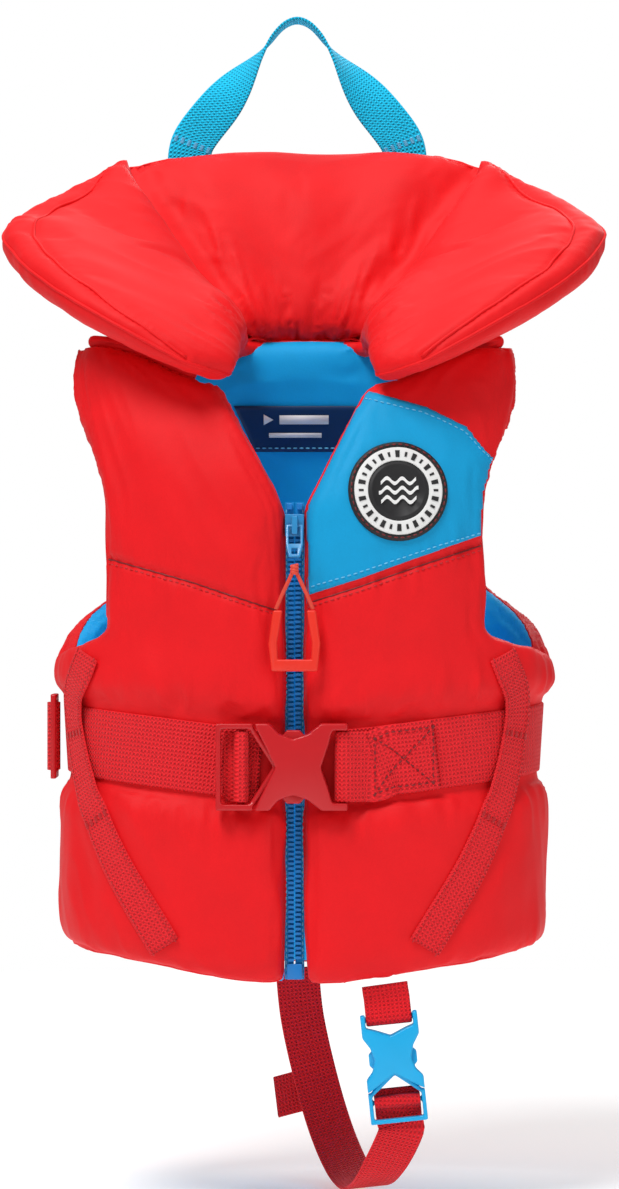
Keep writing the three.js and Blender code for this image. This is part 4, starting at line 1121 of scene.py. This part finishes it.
def add_buckle_loop():
    """The belt's end comes round the buckle's bar and is sewn back with a crossed box."""
    x0, y0, z0 = -47.6, -85.5, BELT_FRONT_Z
    route = [
        (65.4, 0.2), (65.0, 3.0), (65.4, 6.0), (67.5, 7.6),
        (71.0, 7.2), (76.0, 4.6), (81.0, 2.0), (86.0, 0.8),
    ]
    points = [Vector((x0 + u, y0 - w, z0)) * MM for u, w in route]
    for u in (94.0, 102.0, 110.0, 119.0):
        x = x0 + u
        angle = front_angle(x, z0)
        points.append(torso_point(angle, belt_z(angle), 0.9)[0])
    path = curved(points, 1.5)
    faces = []
    for k in range(len(path)):
        along = path[min(len(path) - 1, k + 1)] - path[max(0, k - 1)]
        faces.append(Vector((along.y, -along.x, 0)).normalized())
    webbing(
        "belt_loop_webbing", path, faces, WAIST_WEB, RED_WEBBING, "vest",
        ["belt_buckle_loop"],
    )
    box = [p for p in path if p.x > 0.0385]
    if len(box) > 4:
        lift = Vector((0, -1.15 * MM, 0))
        high, low = Vector((0, 0, 15.0 * MM)), Vector((0, 0, -15.0 * MM))
        corner = [box[0] + lift, box[-2] + lift]
        top = [p + lift + high for p in box[:-1]]
        bottom = [p + lift + low for p in box[:-1]]
        sew(top, DARK_THREAD_AND_SEAM_SHADOW)
        sew(bottom, DARK_THREAD_AND_SEAM_SHADOW)
        sew([corner[0] + high, corner[0] + low], DARK_THREAD_AND_SEAM_SHADOW)
        sew([corner[1] + high, corner[1] + low], DARK_THREAD_AND_SEAM_SHADOW)
        count = len(box) - 1
        for sign in (-1, 1):
            sew(
                [p + lift + high * sign * (1 - 2 * k / (count - 1)) for k, p in enumerate(box[:-1])],
                DARK_THREAD_AND_SEAM_SHADOW,
            )


def sleeve(name, node, material, body, bevel=0.4):
    """A short piece of webbing taken from its CAD shape, with its weave laid along its longer side."""
    piece = refined(node, material, bevel, body, name, 2)
    low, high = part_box(node)
    size = high - low
    flat = min(range(3), key=lambda k: size[k])
    across = 2 if flat != 2 else 0
    along = next(k for k in range(3) if k not in (flat, across))
    weave = piece.data.uv_layers.new(name="weave")
    for loop in piece.data.loops:
        co = piece.data.vertices[loop.vertex_index].co
        weave.data[loop.index].uv = (co[across] / MM, (co[along] + co[flat]) / MM)
    return piece


# ---- Zip -----------------------------------------------------------------------------------------


def tooth_tree():
    """Geometry nodes that set moulded teeth in a row, a fixed pitch apart."""
    group = bpy.data.node_groups.new("zip_teeth_row", "GeometryNodeTree")
    face = group.interface
    face.new_socket("Row", in_out="INPUT", socket_type="NodeSocketGeometry")
    for name, value in (("Pitch", 0.0026), ("Reach", 0.0034), ("Depth", 0.0022)):
        face.new_socket(name, in_out="INPUT", socket_type="NodeSocketFloat").default_value = value
    face.new_socket("Teeth", in_out="OUTPUT", socket_type="NodeSocketGeometry")
    start = group.nodes.new("NodeGroupInput")
    end = group.nodes.new("NodeGroupOutput")
    line = add(group, "GeometryNodeMeshToCurve", Mesh=start.outputs[0])
    spread = add(group, "GeometryNodeResampleCurve", {"mode": "LENGTH"}, Curve=line.outputs[0])
    group.links.new(start.outputs["Pitch"], spread.inputs["Length"])
    tall = add(group, "ShaderNodeMath", {"operation": "MULTIPLY"}, _0=start.outputs["Pitch"], _1=0.52)
    size = add(group, "ShaderNodeCombineXYZ", X=start.outputs["Reach"], Y=start.outputs["Depth"])
    group.links.new(tall.outputs[0], size.inputs[2])
    corners = {"Vertices_X": 2, "Vertices_Y": 2, "Vertices_Z": 2}
    body = add(group, "GeometryNodeMeshCube", Size=size.outputs[0], **corners)
    head = add(group, "GeometryNodeMeshUVSphere", Segments=8, Rings=5, Radius=0.001)
    joined = group.nodes.new("GeometryNodeJoinGeometry")
    group.links.new(body.outputs[0], joined.inputs[0])
    group.links.new(head.outputs[0], joined.inputs[0])
    rows = add(group, "GeometryNodeInstanceOnPoints", Points=spread.outputs[0], Instance=joined.outputs[0])
    real = add(group, "GeometryNodeRealizeInstances", Geometry=rows.outputs[0])
    coloured = add(group, "GeometryNodeSetMaterial", Geometry=real.outputs[0], Material=ZIP_TEETH)
    group.links.new(coloured.outputs[0], end.inputs[0])
    return group


def add_zip():
    group = tooth_tree()
    for key, side in (("left", 1), ("right", -1)):
        node = "zip_teeth_" + key
        low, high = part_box(node)
        x = ZIP_X * MM + side * 1.9 * MM
        y = (low.y + high.y) / 2
        shift = 0.5 * TOOTH_PITCH * MM if side > 0 else 0.0
        mesh = bpy.data.meshes.new("zip_row")
        bottom, top = low.z + 1.5 * MM + shift, high.z - 1.5 * MM
        mesh.from_pydata([(x, y, bottom), (x, y, top)], [(0, 1)], [])
        piece = bpy.data.objects.new(node + "_moulded", mesh)
        bpy.context.scene.collection.objects.link(piece)
        modifier = piece.modifiers.new("teeth", "NODES")
        modifier.node_group = group
        for name, value in (("Pitch", TOOTH_PITCH), ("Reach", TOOTH_REACH), ("Depth", TOOTH_DEPTH)):
            modifier[socket_id(group, name)] = value * MM
        baked(piece)
        for polygon in piece.data.polygons:
            polygon.use_smooth = False
        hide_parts(node)
        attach(piece, "vest")
        refined("zip_tape_" + key, ZIP_TAPE, 0.2, "vest")
        refined("zip_stop_" + key, ZIP_TEETH, 0.5, "vest")
        tape_low, tape_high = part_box("zip_tape_" + key)
        edge = tape_high.x if side > 0 else tape_low.x
        beside, before = edge - side * 0.9 * MM, tape_low.y - 0.25 * MM
        sew([Vector((beside, before, z * MM)) for z in (-8, 80, 160, 244)], BLUE_THREAD)
    refined("zip_bottom_box", ZIP_TEETH, 0.8, "vest")
    refined("zip_slider", SLIDER_PAINT, 0.7, "slider")
    refined("zip_pull_tab", SLIDER_PAINT, 0.45, "pull_tab")
    refined("zip_pull_grip", GRIP_PLASTIC, 1.2, "pull_grip", segments=4)
    add_pull_cord()


def add_pull_cord():
    """A doubled cord from a knot at the tab down to the arms of the grip."""
    y, top, bottom = -93.0, 212.5, 190.5
    parts = []
    for side in (-1, 1):
        path = [
            Vector((ZIP_X, y, top + 1)), Vector((ZIP_X + side * 2.2, y, top - 4)),
            Vector((ZIP_X + side * 6.4, y, top - 13)), Vector((ZIP_X + side * 10, y, bottom + 0.5)),
        ]
        parts.append(round_cord(f"cord_leg_{side}", curved([p * MM for p in path], 1.0), 1.05, PULL_CORD))
    turns = []
    for k in range(49):
        a = 2 * math.pi * k / 16
        place = Vector((ZIP_X + 1.5 * math.cos(a), y + 1.3 * math.sin(a), top + 2.4 - 4.6 * k / 48))
        turns.append(place * MM)
    parts.append(round_cord("cord_knot", turns, 0.95, PULL_CORD))
    bm = bmesh.new()
    for part in parts:
        bm.from_mesh(part.data)
        bpy.data.objects.remove(part)
    bmesh.ops.recalc_face_normals(bm, faces=bm.faces)
    piece = from_bmesh("zip_pull_cord_braid", bm, PULL_CORD)
    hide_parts("zip_pull_cord")
    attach(piece, "pull_grip")


# ---- Yoke, badge and label -----------------------------------------------------------------------


def front_edge(z, side, start, step):
    """The last x at which the front panel is still met, walking out from start."""
    x = start
    while abs(x) < 150 and on_front(x + step, z, 0.0, side):
        x += step
    return x


def height_on(route, x):
    if x <= route[0][0]:
        return route[0][1]
    for a, b in zip(route, route[1:]):
        if x <= b[0]:
            return a[1] + (b[1] - a[1]) * (x - a[0]) / (b[0] - a[0])
    return route[-1][1]


def add_yoke():
    """Blue cloth over the wearer's left chest, from the neck edge to the armhole."""
    columns, rows = 60, 56
    grid = []
    for j in range(rows):
        v = j / (rows - 1)
        row = []
        for i in range(columns):
            u = i / (columns - 1)
            z = lerp(height_on(YOKE_LOW, lerp(3, 101.5, u)), height_on(YOKE_HIGH, lerp(36, 113, u)), v)
            inner = front_edge(z, "left", 75, -1.0) + 0.7
            outer = front_edge(z, "left", 75, 1.0) - 0.7
            x = inner + (outer - inner) * u
            hit = on_front(x, z, 0.0, "left")
            edge = min(u, 1 - u, v, 1 - v)
            lift = 0.35 + 0.5 * smooth(edge, 0.0, 0.02)
            row.append(hit[0] + hit[1] * lift * MM)
        grid.append(row)
    vertices = [p for row in grid for p in row]
    piece = new_piece("chest_yoke_cloth", vertices, grid_faces(columns, rows), BLUE_NYLON)
    thickened(piece, 0.7, -1.0)
    outward(piece)
    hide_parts("chest_yoke")
    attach(piece, "vest")
    sew([grid[2][i] + Vector((0, -0.35 * MM, 0)) for i in range(2, columns - 1)], BLUE_THREAD)
    sew([grid[-3][i] + Vector((0, -0.35 * MM, 0)) for i in range(2, columns - 1)], BLUE_THREAD)
    for key, route in (("left", [(x, z - 4.0) for x, z in YOKE_LOW]), ("right", RIGHT_SEAM)):
        line = [on_front(x, z, 0.1, key) for x, z in front_places(route, 2.5)]
        # Along each chest seam a thin dark cord is laid on the cloth: painted shade, a dark line that
        # stands in for the shadow in the seam.
        cord = round_cord(f"{key}_chest_seam", [hit[0] for hit in line if hit], 0.42, DARK_THREAD_AND_SEAM_SHADOW, 8)
        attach(cord, "vest")
        sew_front([(x, z - 2.4) for x, z in route], RED_THREAD, 0.3)


def badge_frame():
    """A steady plane for the stiff badge: the middle of the cloth under it."""
    centre_x, centre_z = BADGE_CENTRE
    radius = 24.0
    points = []
    for k in range(12):
        a = 2 * math.pi * k / 12
        x, z = centre_x + radius * math.cos(a), centre_z + radius * math.sin(a)
        points.append(on_front(x, z, 0, "left")[0])
    middle = sum(points, Vector()) / 12
    normal = Vector()
    for k in range(12):
        normal += (points[k] - middle).cross(points[(k + 1) % 12] - middle)
    normal.normalize()
    if normal.y > 0:
        normal = -normal
    side = Vector((0, 0, 1)).cross(normal)
    side = -side.normalized() if side.x < 0 else side.normalized()
    up = normal.cross(side)
    if up.z < 0:
        up = -up
    return on_front(centre_x, centre_z, 0, "left")[0], normal, side, up


def badge_point(place, r, a, lift):
    """A point of the badge: it bends with the chest as the cloth does."""
    centre, normal, side, up = place
    flat = centre + side * r * math.cos(a) * MM + up * r * math.sin(a) * MM
    hit = on_front(flat.x / MM, flat.z / MM, 0, "left")
    drop = (hit[0] - flat).dot(normal)
    return flat + normal * (drop + lift * MM)


def turned_on_badge(name, place, profile, material, node):
    """A round rubber form on the badge, from a profile of radius and height."""
    turns = 96
    count = len(profile)
    vertices = [
        badge_point(place, r, 2 * math.pi * k / turns, lift) for r, lift in profile for k in range(turns)
    ]
    faces = ring_faces(count, turns)
    if profile[0][0] > 0.5 and profile[0] != profile[-1]:
        faces.append(tuple(range(turns)))
        faces.append(tuple((count - 1) * turns + k for k in reversed(range(turns))))
    piece = new_piece(name, vertices, faces, material)
    outward(piece)
    if node:
        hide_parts(node)
    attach(piece, "vest")
    return piece


def bar_on_badge(place, outline, low, high):
    """A flat raised shape on the badge, from an outline in polar places."""
    count = len(outline)
    vertices = [badge_point(place, r, a, low) for r, a in outline]
    vertices += [badge_point(place, r, a, high) for r, a in outline]
    faces = [tuple(reversed(range(count))), tuple(range(count, 2 * count))]
    faces += [(k, (k + 1) % count, count + (k + 1) % count, count + k) for k in range(count)]
    return vertices, faces


def add_badge():
    """A soft rubber badge: a dark disc, a white ring with a plain pattern, and three waves."""
    place = badge_frame()
    radius = BADGE_RADIUS
    base = [
        (radius - 0.2, 0.4), (radius, 1.4), (radius - 0.5, 2.5), (radius - 1.6, 2.9), (radius - 2.6, 2.4),
        (radius * 0.58, 2.4), (radius * 0.55, 2.9), (radius * 0.52, 2.9), (radius * 0.5, 2.2), (0.8, 2.2),
    ]
    turned_on_badge("badge_disc", place, base, BADGE_RUBBER, "badge_base")
    ring = [(16.6, 2.3), (16.8, 2.95), (17.2, 3.05), (23.6, 3.05), (24.0, 2.95), (24.2, 2.3)]
    turned_on_badge("badge_white_ring", place, [*ring, ring[0]], BADGE_WHITE, "badge_ring")
    vertices, faces = [], []
    for k in range(BADGE_MARKS):
        a = 2 * math.pi * k / BADGE_MARKS
        wide = 0.055 if k % 2 else 0.03
        reach = 1.9 if k % 2 else 1.3
        inside, outside = BADGE_MARKS_RADIUS - reach, BADGE_MARKS_RADIUS + reach
        outline = [(inside, a - wide), (inside, a + wide), (outside, a + wide), (outside, a - wide)]
        v, f = bar_on_badge(place, outline, 2.95, 3.35)
        faces += [tuple(len(vertices) + i for i in face) for face in f]
        vertices += v
    marks_piece = new_piece("badge_ring_marks", vertices, faces, BADGE_RUBBER)
    waves_v, waves_f = [], []
    for row in (-5.2, 0.0, 5.2):
        half = math.sqrt(12.0**2 - row**2) - 1.2
        steps = 28
        line = []
        for k in range(steps + 1):
            x = -half + 2 * half * k / steps
            line.append((x, row + 1.5 * math.sin(x * 0.75)))
        outline = [(x, y + 1.0) for x, y in line] + [(x, y - 1.0) for x, y in reversed(line)]
        polar = [(math.hypot(x, y), math.atan2(y, x)) for x, y in outline]
        count = len(line)
        low = [badge_point(place, r, a, 2.1) for r, a in polar]
        high = [badge_point(place, r, a, 2.9) for r, a in polar]
        first = len(waves_v)
        waves_v += low + high
        total = 2 * count
        for k in range(count - 1):
            o = total - 1 - k
            above = first + total
            waves_f.append((above + k, above + k + 1, above + o - 1, above + o))
            waves_f.append((first + k, first + o, first + o - 1, first + k + 1))
        for k in range(total):
            n = (k + 1) % total
            waves_f.append((first + k, first + n, first + total + n, first + total + k))
    emblem = new_piece("badge_waves", waves_v, waves_f, BADGE_WHITE)
    for piece, slot in ((marks_piece, "badge_rubber"), (emblem, "badge_white")):
        outward(piece)
        for polygon in piece.data.polygons:
            polygon.use_smooth = False
        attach(piece, "vest")
    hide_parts("badge_emblem")
    sew([badge_point(place, radius - 1.6, 2 * math.pi * k / 60, 3.05) for k in range(61)], DARK_THREAD_AND_SEAM_SHADOW)


def on_back_lining(x, z, lift):
    """A point on the back panel's lining, seen from the front through the neck."""
    hit = TREES["back"].ray_cast(Vector((x * MM, -0.02, z * MM)), Vector((0, 1, 0)))
    return hit[0] - Vector((0, lift * MM, 0))


def add_label():
    """A navy woven label on the lining inside the neck, with a plain mark."""
    low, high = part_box("size_label")
    top, bottom = high.z / MM, low.z / MM
    columns, rows = 24, 12
    vertices = []
    for j in range(rows):
        v = j / (rows - 1)
        half = 25 + 12 * v
        for i in range(columns):
            x = -3 - half + 2 * half * i / (columns - 1)
            z = bottom + (top - bottom) * v
            vertices.append(on_back_lining(x, z, 1.2))
    piece = new_piece("size_label_satin", vertices, grid_faces(columns, rows), LABEL_SATIN)
    thickened(piece, 0.5, 0.0)
    outward(piece)
    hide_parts("size_label")
    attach(piece, "vest")
    border = []
    for u, v in [(k / 20, 0.08) for k in range(1, 20)] + [(0.96, k / 8) for k in range(1, 8)]:
        half = 25 + 12 * v
        border.append(on_back_lining(-3 - half + 2 * half * u, bottom + (top - bottom) * v, 1.9))
    sew(border, BLUE_THREAD)
    marks = [
        [(-20, 15), (-20, 21), (-14.5, 18)],
        [(-11, 15.5), (-11, 20.5), (17, 20.5), (17, 15.5)],
        [(-17, 8), (-17, 10.6), (13, 10.6), (13, 8)],
    ]
    mark_v, mark_f = [], []
    for outline in marks:
        first = len(mark_v)
        mark_v += [on_back_lining(x - 3, bottom + z, 1.75) for x, z in outline]
        mark_f.append(tuple(range(first, first + len(outline))))
    mark = new_piece("size_label_mark", mark_v, mark_f, BADGE_WHITE)
    thickened(mark, 0.15, -1.0)
    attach(mark, "vest")


# ---- Collar --------------------------------------------------------------------------------------

WALL_SHARE = 0.9
WALL_LINE = []
FOLD_LEFT = ((99, 441), (32, 342))
FOLD_RIGHT = ((-99, 441), (-32, 342))


def collar_cap(point):
    edge = smooth(point.z / MM, 326, 352)
    folds = min(
        line_distance(point.x / MM, point.z / MM, *FOLD_LEFT)[0],
        line_distance(point.x / MM, point.z / MM, *FOLD_RIGHT)[0],
    )
    near_fold = 1 - smooth(folds, 2, 16) if point.y > -0.03 else 0.0
    return COLLAR_SWELL * (0.25 + 0.75 * edge) * (1 - 0.8 * near_fold)


def collar_hold(point):
    return 0.8 * (1 - smooth(point.z / MM, 330, 344)) if point.y > 0 else 0.0


def collar_creases(point, normal):
    """Creases fan out from the neck and the folds, and the lobes stand in front of the head rest."""
    x, z = point.x / MM, point.z / MM
    fan = Vector((x, 0.0, z - 300.0)).normalized()
    neck = math.exp(-(((z - 352) / 20) ** 2)) * (1 - smooth(abs(x), 46, 70))
    lobes = smooth(abs(x), 60, 110)
    pleats = crease(point, fan, 10, 60, 2.2) * neck
    rolls = wave_noise(point, fan, 38, 110, 6.1)
    diagonal = Vector((math.copysign(0.75, x), 0.0, 0.45)).normalized()
    drags = crease(point, diagonal, 19, 120, 9.3)
    corner = math.exp(-(((abs(x) - 34) / 16) ** 2) - ((z - 358) / 17) ** 2)
    bunched = crease(point, Vector((math.copysign(0.5, x), 0.0, 0.87)), 14, 55, 7.9) * corner
    lift = 2.6 * pleats + 1.5 * rolls + 0.9 * drags * (0.35 + 0.65 * lobes) + 3.2 * bunched
    if normal.y < 0.1:
        away = min(line_distance(x, z, *FOLD_LEFT)[0], line_distance(x, z, *FOLD_RIGHT)[0])
        beyond = abs(x) - lerp(32, 99, (z - 342) / 99)
        if beyond < 0:
            lift -= 7.0 * math.exp(-away / 13)
            lift += 1.2 * math.exp(-(((away - 12) / 10) ** 2)) * crease(point, fan, 12, 40, 4.4)
        else:
            lift += 5.5 * math.exp(-(((away - 8) / 11) ** 2)) - 4.0 * math.exp(-((away / 2.6) ** 2))
        wall = min((point - place).length for place in WALL_LINE) / MM if abs(x) > 60 else 99.0
        lift -= 2.2 * math.exp(-((wall / 3.0) ** 2))
    return lift * MM


# The collar's edges from the middle of the back (0) to a front end (1): the share, then the distance
# from the middle, the depth and the height over the shoulder line.
NECK_EDGE = [(0, 0, 48, 7), (0.25, 22, 44, 6), (VALLEY, 38, 28, 5), (0.7, 42, -28, 2), (1, 39, -75, -20)]
OUTER_EDGE = [
    (0, 0, 92, 117), (0.25, 50, 90, 117), (VALLEY, 97, 80, 110), (0.55, 152, 42, 82),
    (0.68, 168, 0, 63), (0.8, 148, -46, 38), (0.9, 108, -78, 12), (1, 64, -91, -13),
]


def edge_point(stops, s):
    side, along = (1 if s >= 0 else -1), abs(s)
    k = 0
    while k < len(stops) - 2 and along > stops[k + 1][0]:
        k += 1
    t = (along - stops[k][0]) / (stops[k + 1][0] - stops[k][0])

    def point(n):
        if n < 0:
            return Vector((-stops[1][1], stops[1][2], stops[1][3]))
        return Vector(stops[min(n, len(stops) - 1)][1:])

    def slope(n):
        return (point(n + 1) - point(n - 1)) * 0.5

    place = (
        (2 * t**3 - 3 * t**2 + 1) * point(k)
        + (t**3 - 2 * t**2 + t) * slope(k)
        + (3 * t**2 - 2 * t**3) * point(k + 1)
        + (t**3 - t**2) * slope(k + 1)
    )
    return Vector((side * place.x, place.y, SHOULDER_Z + place.z))


def collar_place(s, t):
    return edge_point(NECK_EDGE, s).lerp(edge_point(OUTER_EDGE, s), t)


def collar_normal(s, t):
    step = 0.004
    along = collar_place(min(1, s + step), t) - collar_place(max(-1, s - step), t)
    up = collar_place(s, min(1, t + step)) - collar_place(s, max(0, t - step))
    return along.cross(up).normalized()


def collar_half(s, t):
    """Half the collar's thickness: full inside each segment, thin at its rim and in the folds."""

    def roll(share):
        return math.sqrt(max(0.0, 1 - (1 - min(1.0, max(0.0, share))) ** 2))

    height = roll(t / 0.25) * roll((1 - t) / 0.25)
    end = roll((1 - abs(s)) / 0.16)
    fold = 0.35 + 0.65 * min(1.0, abs(abs(s) - VALLEY) / 0.1)
    full = 17.0 * (1 - 0.4 * smooth(abs(s), 0.62, 0.95))
    return 2.5 + (full - 2.5) * height * end * fold


def collar_grids(columns, rows):
    outside, inside = [], []
    for j in range(rows):
        t = eased(j / (rows - 1))
        for i in range(columns):
            s = -1 + 2 * i / (columns - 1)
            normal, half = collar_normal(s, t), collar_half(s, t)
            outside.append((collar_place(s, t) - normal * half) * MM)
            inside.append((collar_place(s, t) + normal * half) * MM)
    return outside, inside


def wall_places(side):
    """The line, near a lobe's outer edge, where its face is sewn to its side wall."""
    places = []
    for k in range(70):
        s = side * (0.45 + 0.545 * k / 69)
        t = lerp(0.99, WALL_SHARE, min(smooth(k, 0, 9), smooth(69 - k, 0, 9)))
        places.append((collar_place(s, t) + collar_normal(s, t) * collar_half(s, t)) * MM)
    return places


def add_neck_binding():
    """A rolled cloth binding closes the seam between the back panel and the collar."""
    places = [edge_point(NECK_EDGE, -0.62 + 1.24 * k / 40) + Vector((0, 0.5, -4.0)) for k in range(41)]
    piece = round_cord("neck_binding", resampled([p * MM for p in places], 2.5), 4.6, COLLAR_NYLON, 16)
    displaced(piece, lambda point, normal: 0.0006 * crease(point, Vector((0, 0, 1)), 5, 40, 2.7))
    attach(piece, "collar")


def add_collar():
    columns, rows = 141, 34
    WALL_LINE.extend(wall_places(1) + wall_places(-1))
    outside, inside = collar_grids(columns, rows)
    piece, rims = padded_form("pillow_collar", outside, inside, columns, rows, COLLAR_NYLON, 4.0)
    swollen(piece, collar_cap, collar_hold, rims[0], 5.0)
    displaced(piece, collar_creases)
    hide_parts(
        "collar_head_cover", "collar_outer_cover", "collar_foam_center", "collar_foam_left",
        "collar_foam_right",
    )
    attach(piece, "collar")
    tree = tree_of(piece)
    piping("collar_edge_seam", rims[0], tree, 0.9, COLLAR_NYLON, "collar", 0.1)
    for key, side in (("left", 1), ("right", -1)):
        line = []
        for place in wall_places(side):
            near, normal = tree.find_nearest(place)[:2]
            line.append(near + normal * 0.3 * MM)
        cord = round_cord(f"collar_wall_seam_{key}", curved(line[::3], 2.5), 0.85, COLLAR_NYLON)
        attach(cord, "collar")


def add_handle():
    """The grab handle: webbing sewn to the collar, turning its face from the front to the ground."""
    low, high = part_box("grab_handle")
    base = low.z / MM + 2.0
    y = (low.y + high.y) / 2 / MM
    x0, span, tall = -4.0, 63.0, 72.0
    spots = [(-1.0, -0.15), (-0.95, 0.05), (-0.68, 0.36), (-0.36, 0.72), (-0.11, 0.98)]
    spots += [(-a, b) for a, b in reversed(spots)]
    route = curved([Vector((x0 + a * span, y, base + b * tall)) * MM for a, b in spots], 2.0)
    faces = []
    for k, point in enumerate(route):
        t = k / (len(route) - 1)
        along = (route[min(len(route) - 1, k + 1)] - route[max(0, k - 1)]).normalized()
        turn = smooth(1 - abs(2 * t - 1), 0.25, 0.85) * math.pi / 2
        up = Vector((-along.z, 0, along.x))
        faces.append((Vector((0, -math.cos(turn), 0)) + up * math.sin(turn)).normalized())
    webbing(
        "grab_handle_webbing", route, faces, HANDLE_WEB, BLUE_WEBBING, "handle",
        ["grab_handle"], 1.7,
    )
    for k in (6, len(route) - 7):
        bartack(route, faces, k, HANDLE_WEB - 5, BLUE_THREAD, "handle")


# ---- Crotch strap --------------------------------------------------------------------------------


def crotch_place(u, w, v=0.0):
    """A place in the small buckle's own axes: along the strap, out from it and across it."""
    up = Vector((-math.sin(CROTCH_TILT), 0, math.cos(CROTCH_TILT)))
    across = Vector((-math.cos(CROTCH_TILT), 0, -math.sin(CROTCH_TILT)))
    scale_u, scale_v, scale_w = 0.83, 31 / 47, 0.8
    origin = Vector((CROTCH_BUCKLE_X, -75, -87))
    return (origin + up * u * scale_u + across * v * scale_v + Vector((0, -1, 0)) * w * scale_w) * MM


def faces_across(path, axis):
    result = []
    for k in range(len(path)):
        along = path[min(len(path) - 1, k + 1)] - path[max(0, k - 1)]
        result.append(axis.cross(along).normalized())
    return result


def add_crotch_strap():
    rear = 73.0
    points = [
        Vector((-4, rear, -16)), Vector((-1, rear, -45)), Vector((7, rear - 6, -80)),
        Vector((16, rear - 24, -108)), Vector((26, rear - 54, -127)), Vector((34, -18, -130)),
        Vector((42, -52, -118)),
    ]
    points = [p * MM for p in points] + [crotch_place(-8, -4), crotch_place(2, -3), crotch_place(22, -3)]
    path = curved(points, 2.5)
    across = Vector((math.cos(CROTCH_TILT), 0, math.sin(CROTCH_TILT)))
    webbing(
        "crotch_strap_webbing", path, faces_across(path, across), CROTCH_WEB, CROTCH_WEBBING, "vest",
        ["crotch_strap"], wander=0.5,
    )
    tab = [(65.4, 0.6), (64.9, 3.4), (65.4, 6.4), (68, 8), (71.5, 7), (76, 4.5), (82, 3)]
    places = [crotch_place(u, w) for u, w in tab]
    hem_y = 7.0 - TORSO_HALF_DEPTH
    last = places[-1] / MM
    halfway = Vector((CROTCH_BUCKLE_X - 7.6, (last.y + hem_y) / 2, last.z / 2 + HEM_FRONT_Z / 2 - 1))
    places += [halfway * MM, Vector((CROTCH_BUCKLE_X - 8.2, hem_y, HEM_FRONT_Z - 0.4)) * MM]
    path = curved(places, 1.5)
    faces = faces_across(path, across)
    webbing(
        "crotch_front_tab_webbing", path, faces, CROTCH_WEB, CROTCH_WEBBING, "vest",
        ["crotch_front_tab"],
    )
    tail = [Vector((8, rear - 3.6, -84)), Vector((-3, rear - 1.6, -87)), Vector((-16, rear + 3, -91))]
    path = curved([p * MM for p in tail], 2.0)
    webbing(
        "crotch_tail_webbing", path, [Vector((0, 0.9, -0.43)).normalized()] * len(path), CROTCH_WEB,
        CROTCH_WEBBING, "vest", ["crotch_strap_tail"], 2.4,
    )


def add_buckles():
    for key, material, slot, webbing_material, webbing_slot in (
        ("waist", RED_ACETAL, "red_acetal", RED_WEBBING, "red_webbing"),
        ("crotch", BLUE_ACETAL, "blue_acetal", CROTCH_WEBBING, "crotch_webbing"),
    ):
        size = 1.5 if key == "waist" else 1.0
        crowned(f"{key}_buckle_female", material, "vest", 0.5 * size, 1.6 * size)
        crowned(f"{key}_buckle_male", material, f"{key}_male", 0.5 * size, 0.0)
        refined(f"{key}_latch_upper", material, size * 0.6, f"{key}_upper_arm")
        refined(f"{key}_latch_lower", material, size * 0.6, f"{key}_lower_arm")
        sleeve(
            f"{key}_adjuster_webbing", f"{key}_adjuster_wrap", webbing_material, f"{key}_male"
        )
    refined("belt_triglide", RED_ACETAL, 1.0, "triglide")
    sleeve("triglide_webbing", "triglide_wrap", RED_WEBBING, "triglide")
    sleeve("back_keeper_webbing", "back_belt_keeper", RED_WEBBING, "vest")


def add_shoulders():
    for key in ("left", "right"):
        name = f"{key}_shoulder_cloth"
        piece = refined(f"{key}_shoulder_strap", RED_NYLON, 0.8, "vest", name, 2)
        subdivided(piece, 1)
        displaced(piece, lambda point, normal: 0.0026)


add_edges()
add_shoulders()
add_belt()
add_buckle_loop()
strap_on_front("left_diagonal_strap", 1)
strap_on_front("right_diagonal_strap", -1)
add_buckles()
add_zip()
add_yoke()
add_badge()
add_label()
add_neck_binding()
add_collar()
add_handle()
add_crotch_strap()
sewn_rows(
)
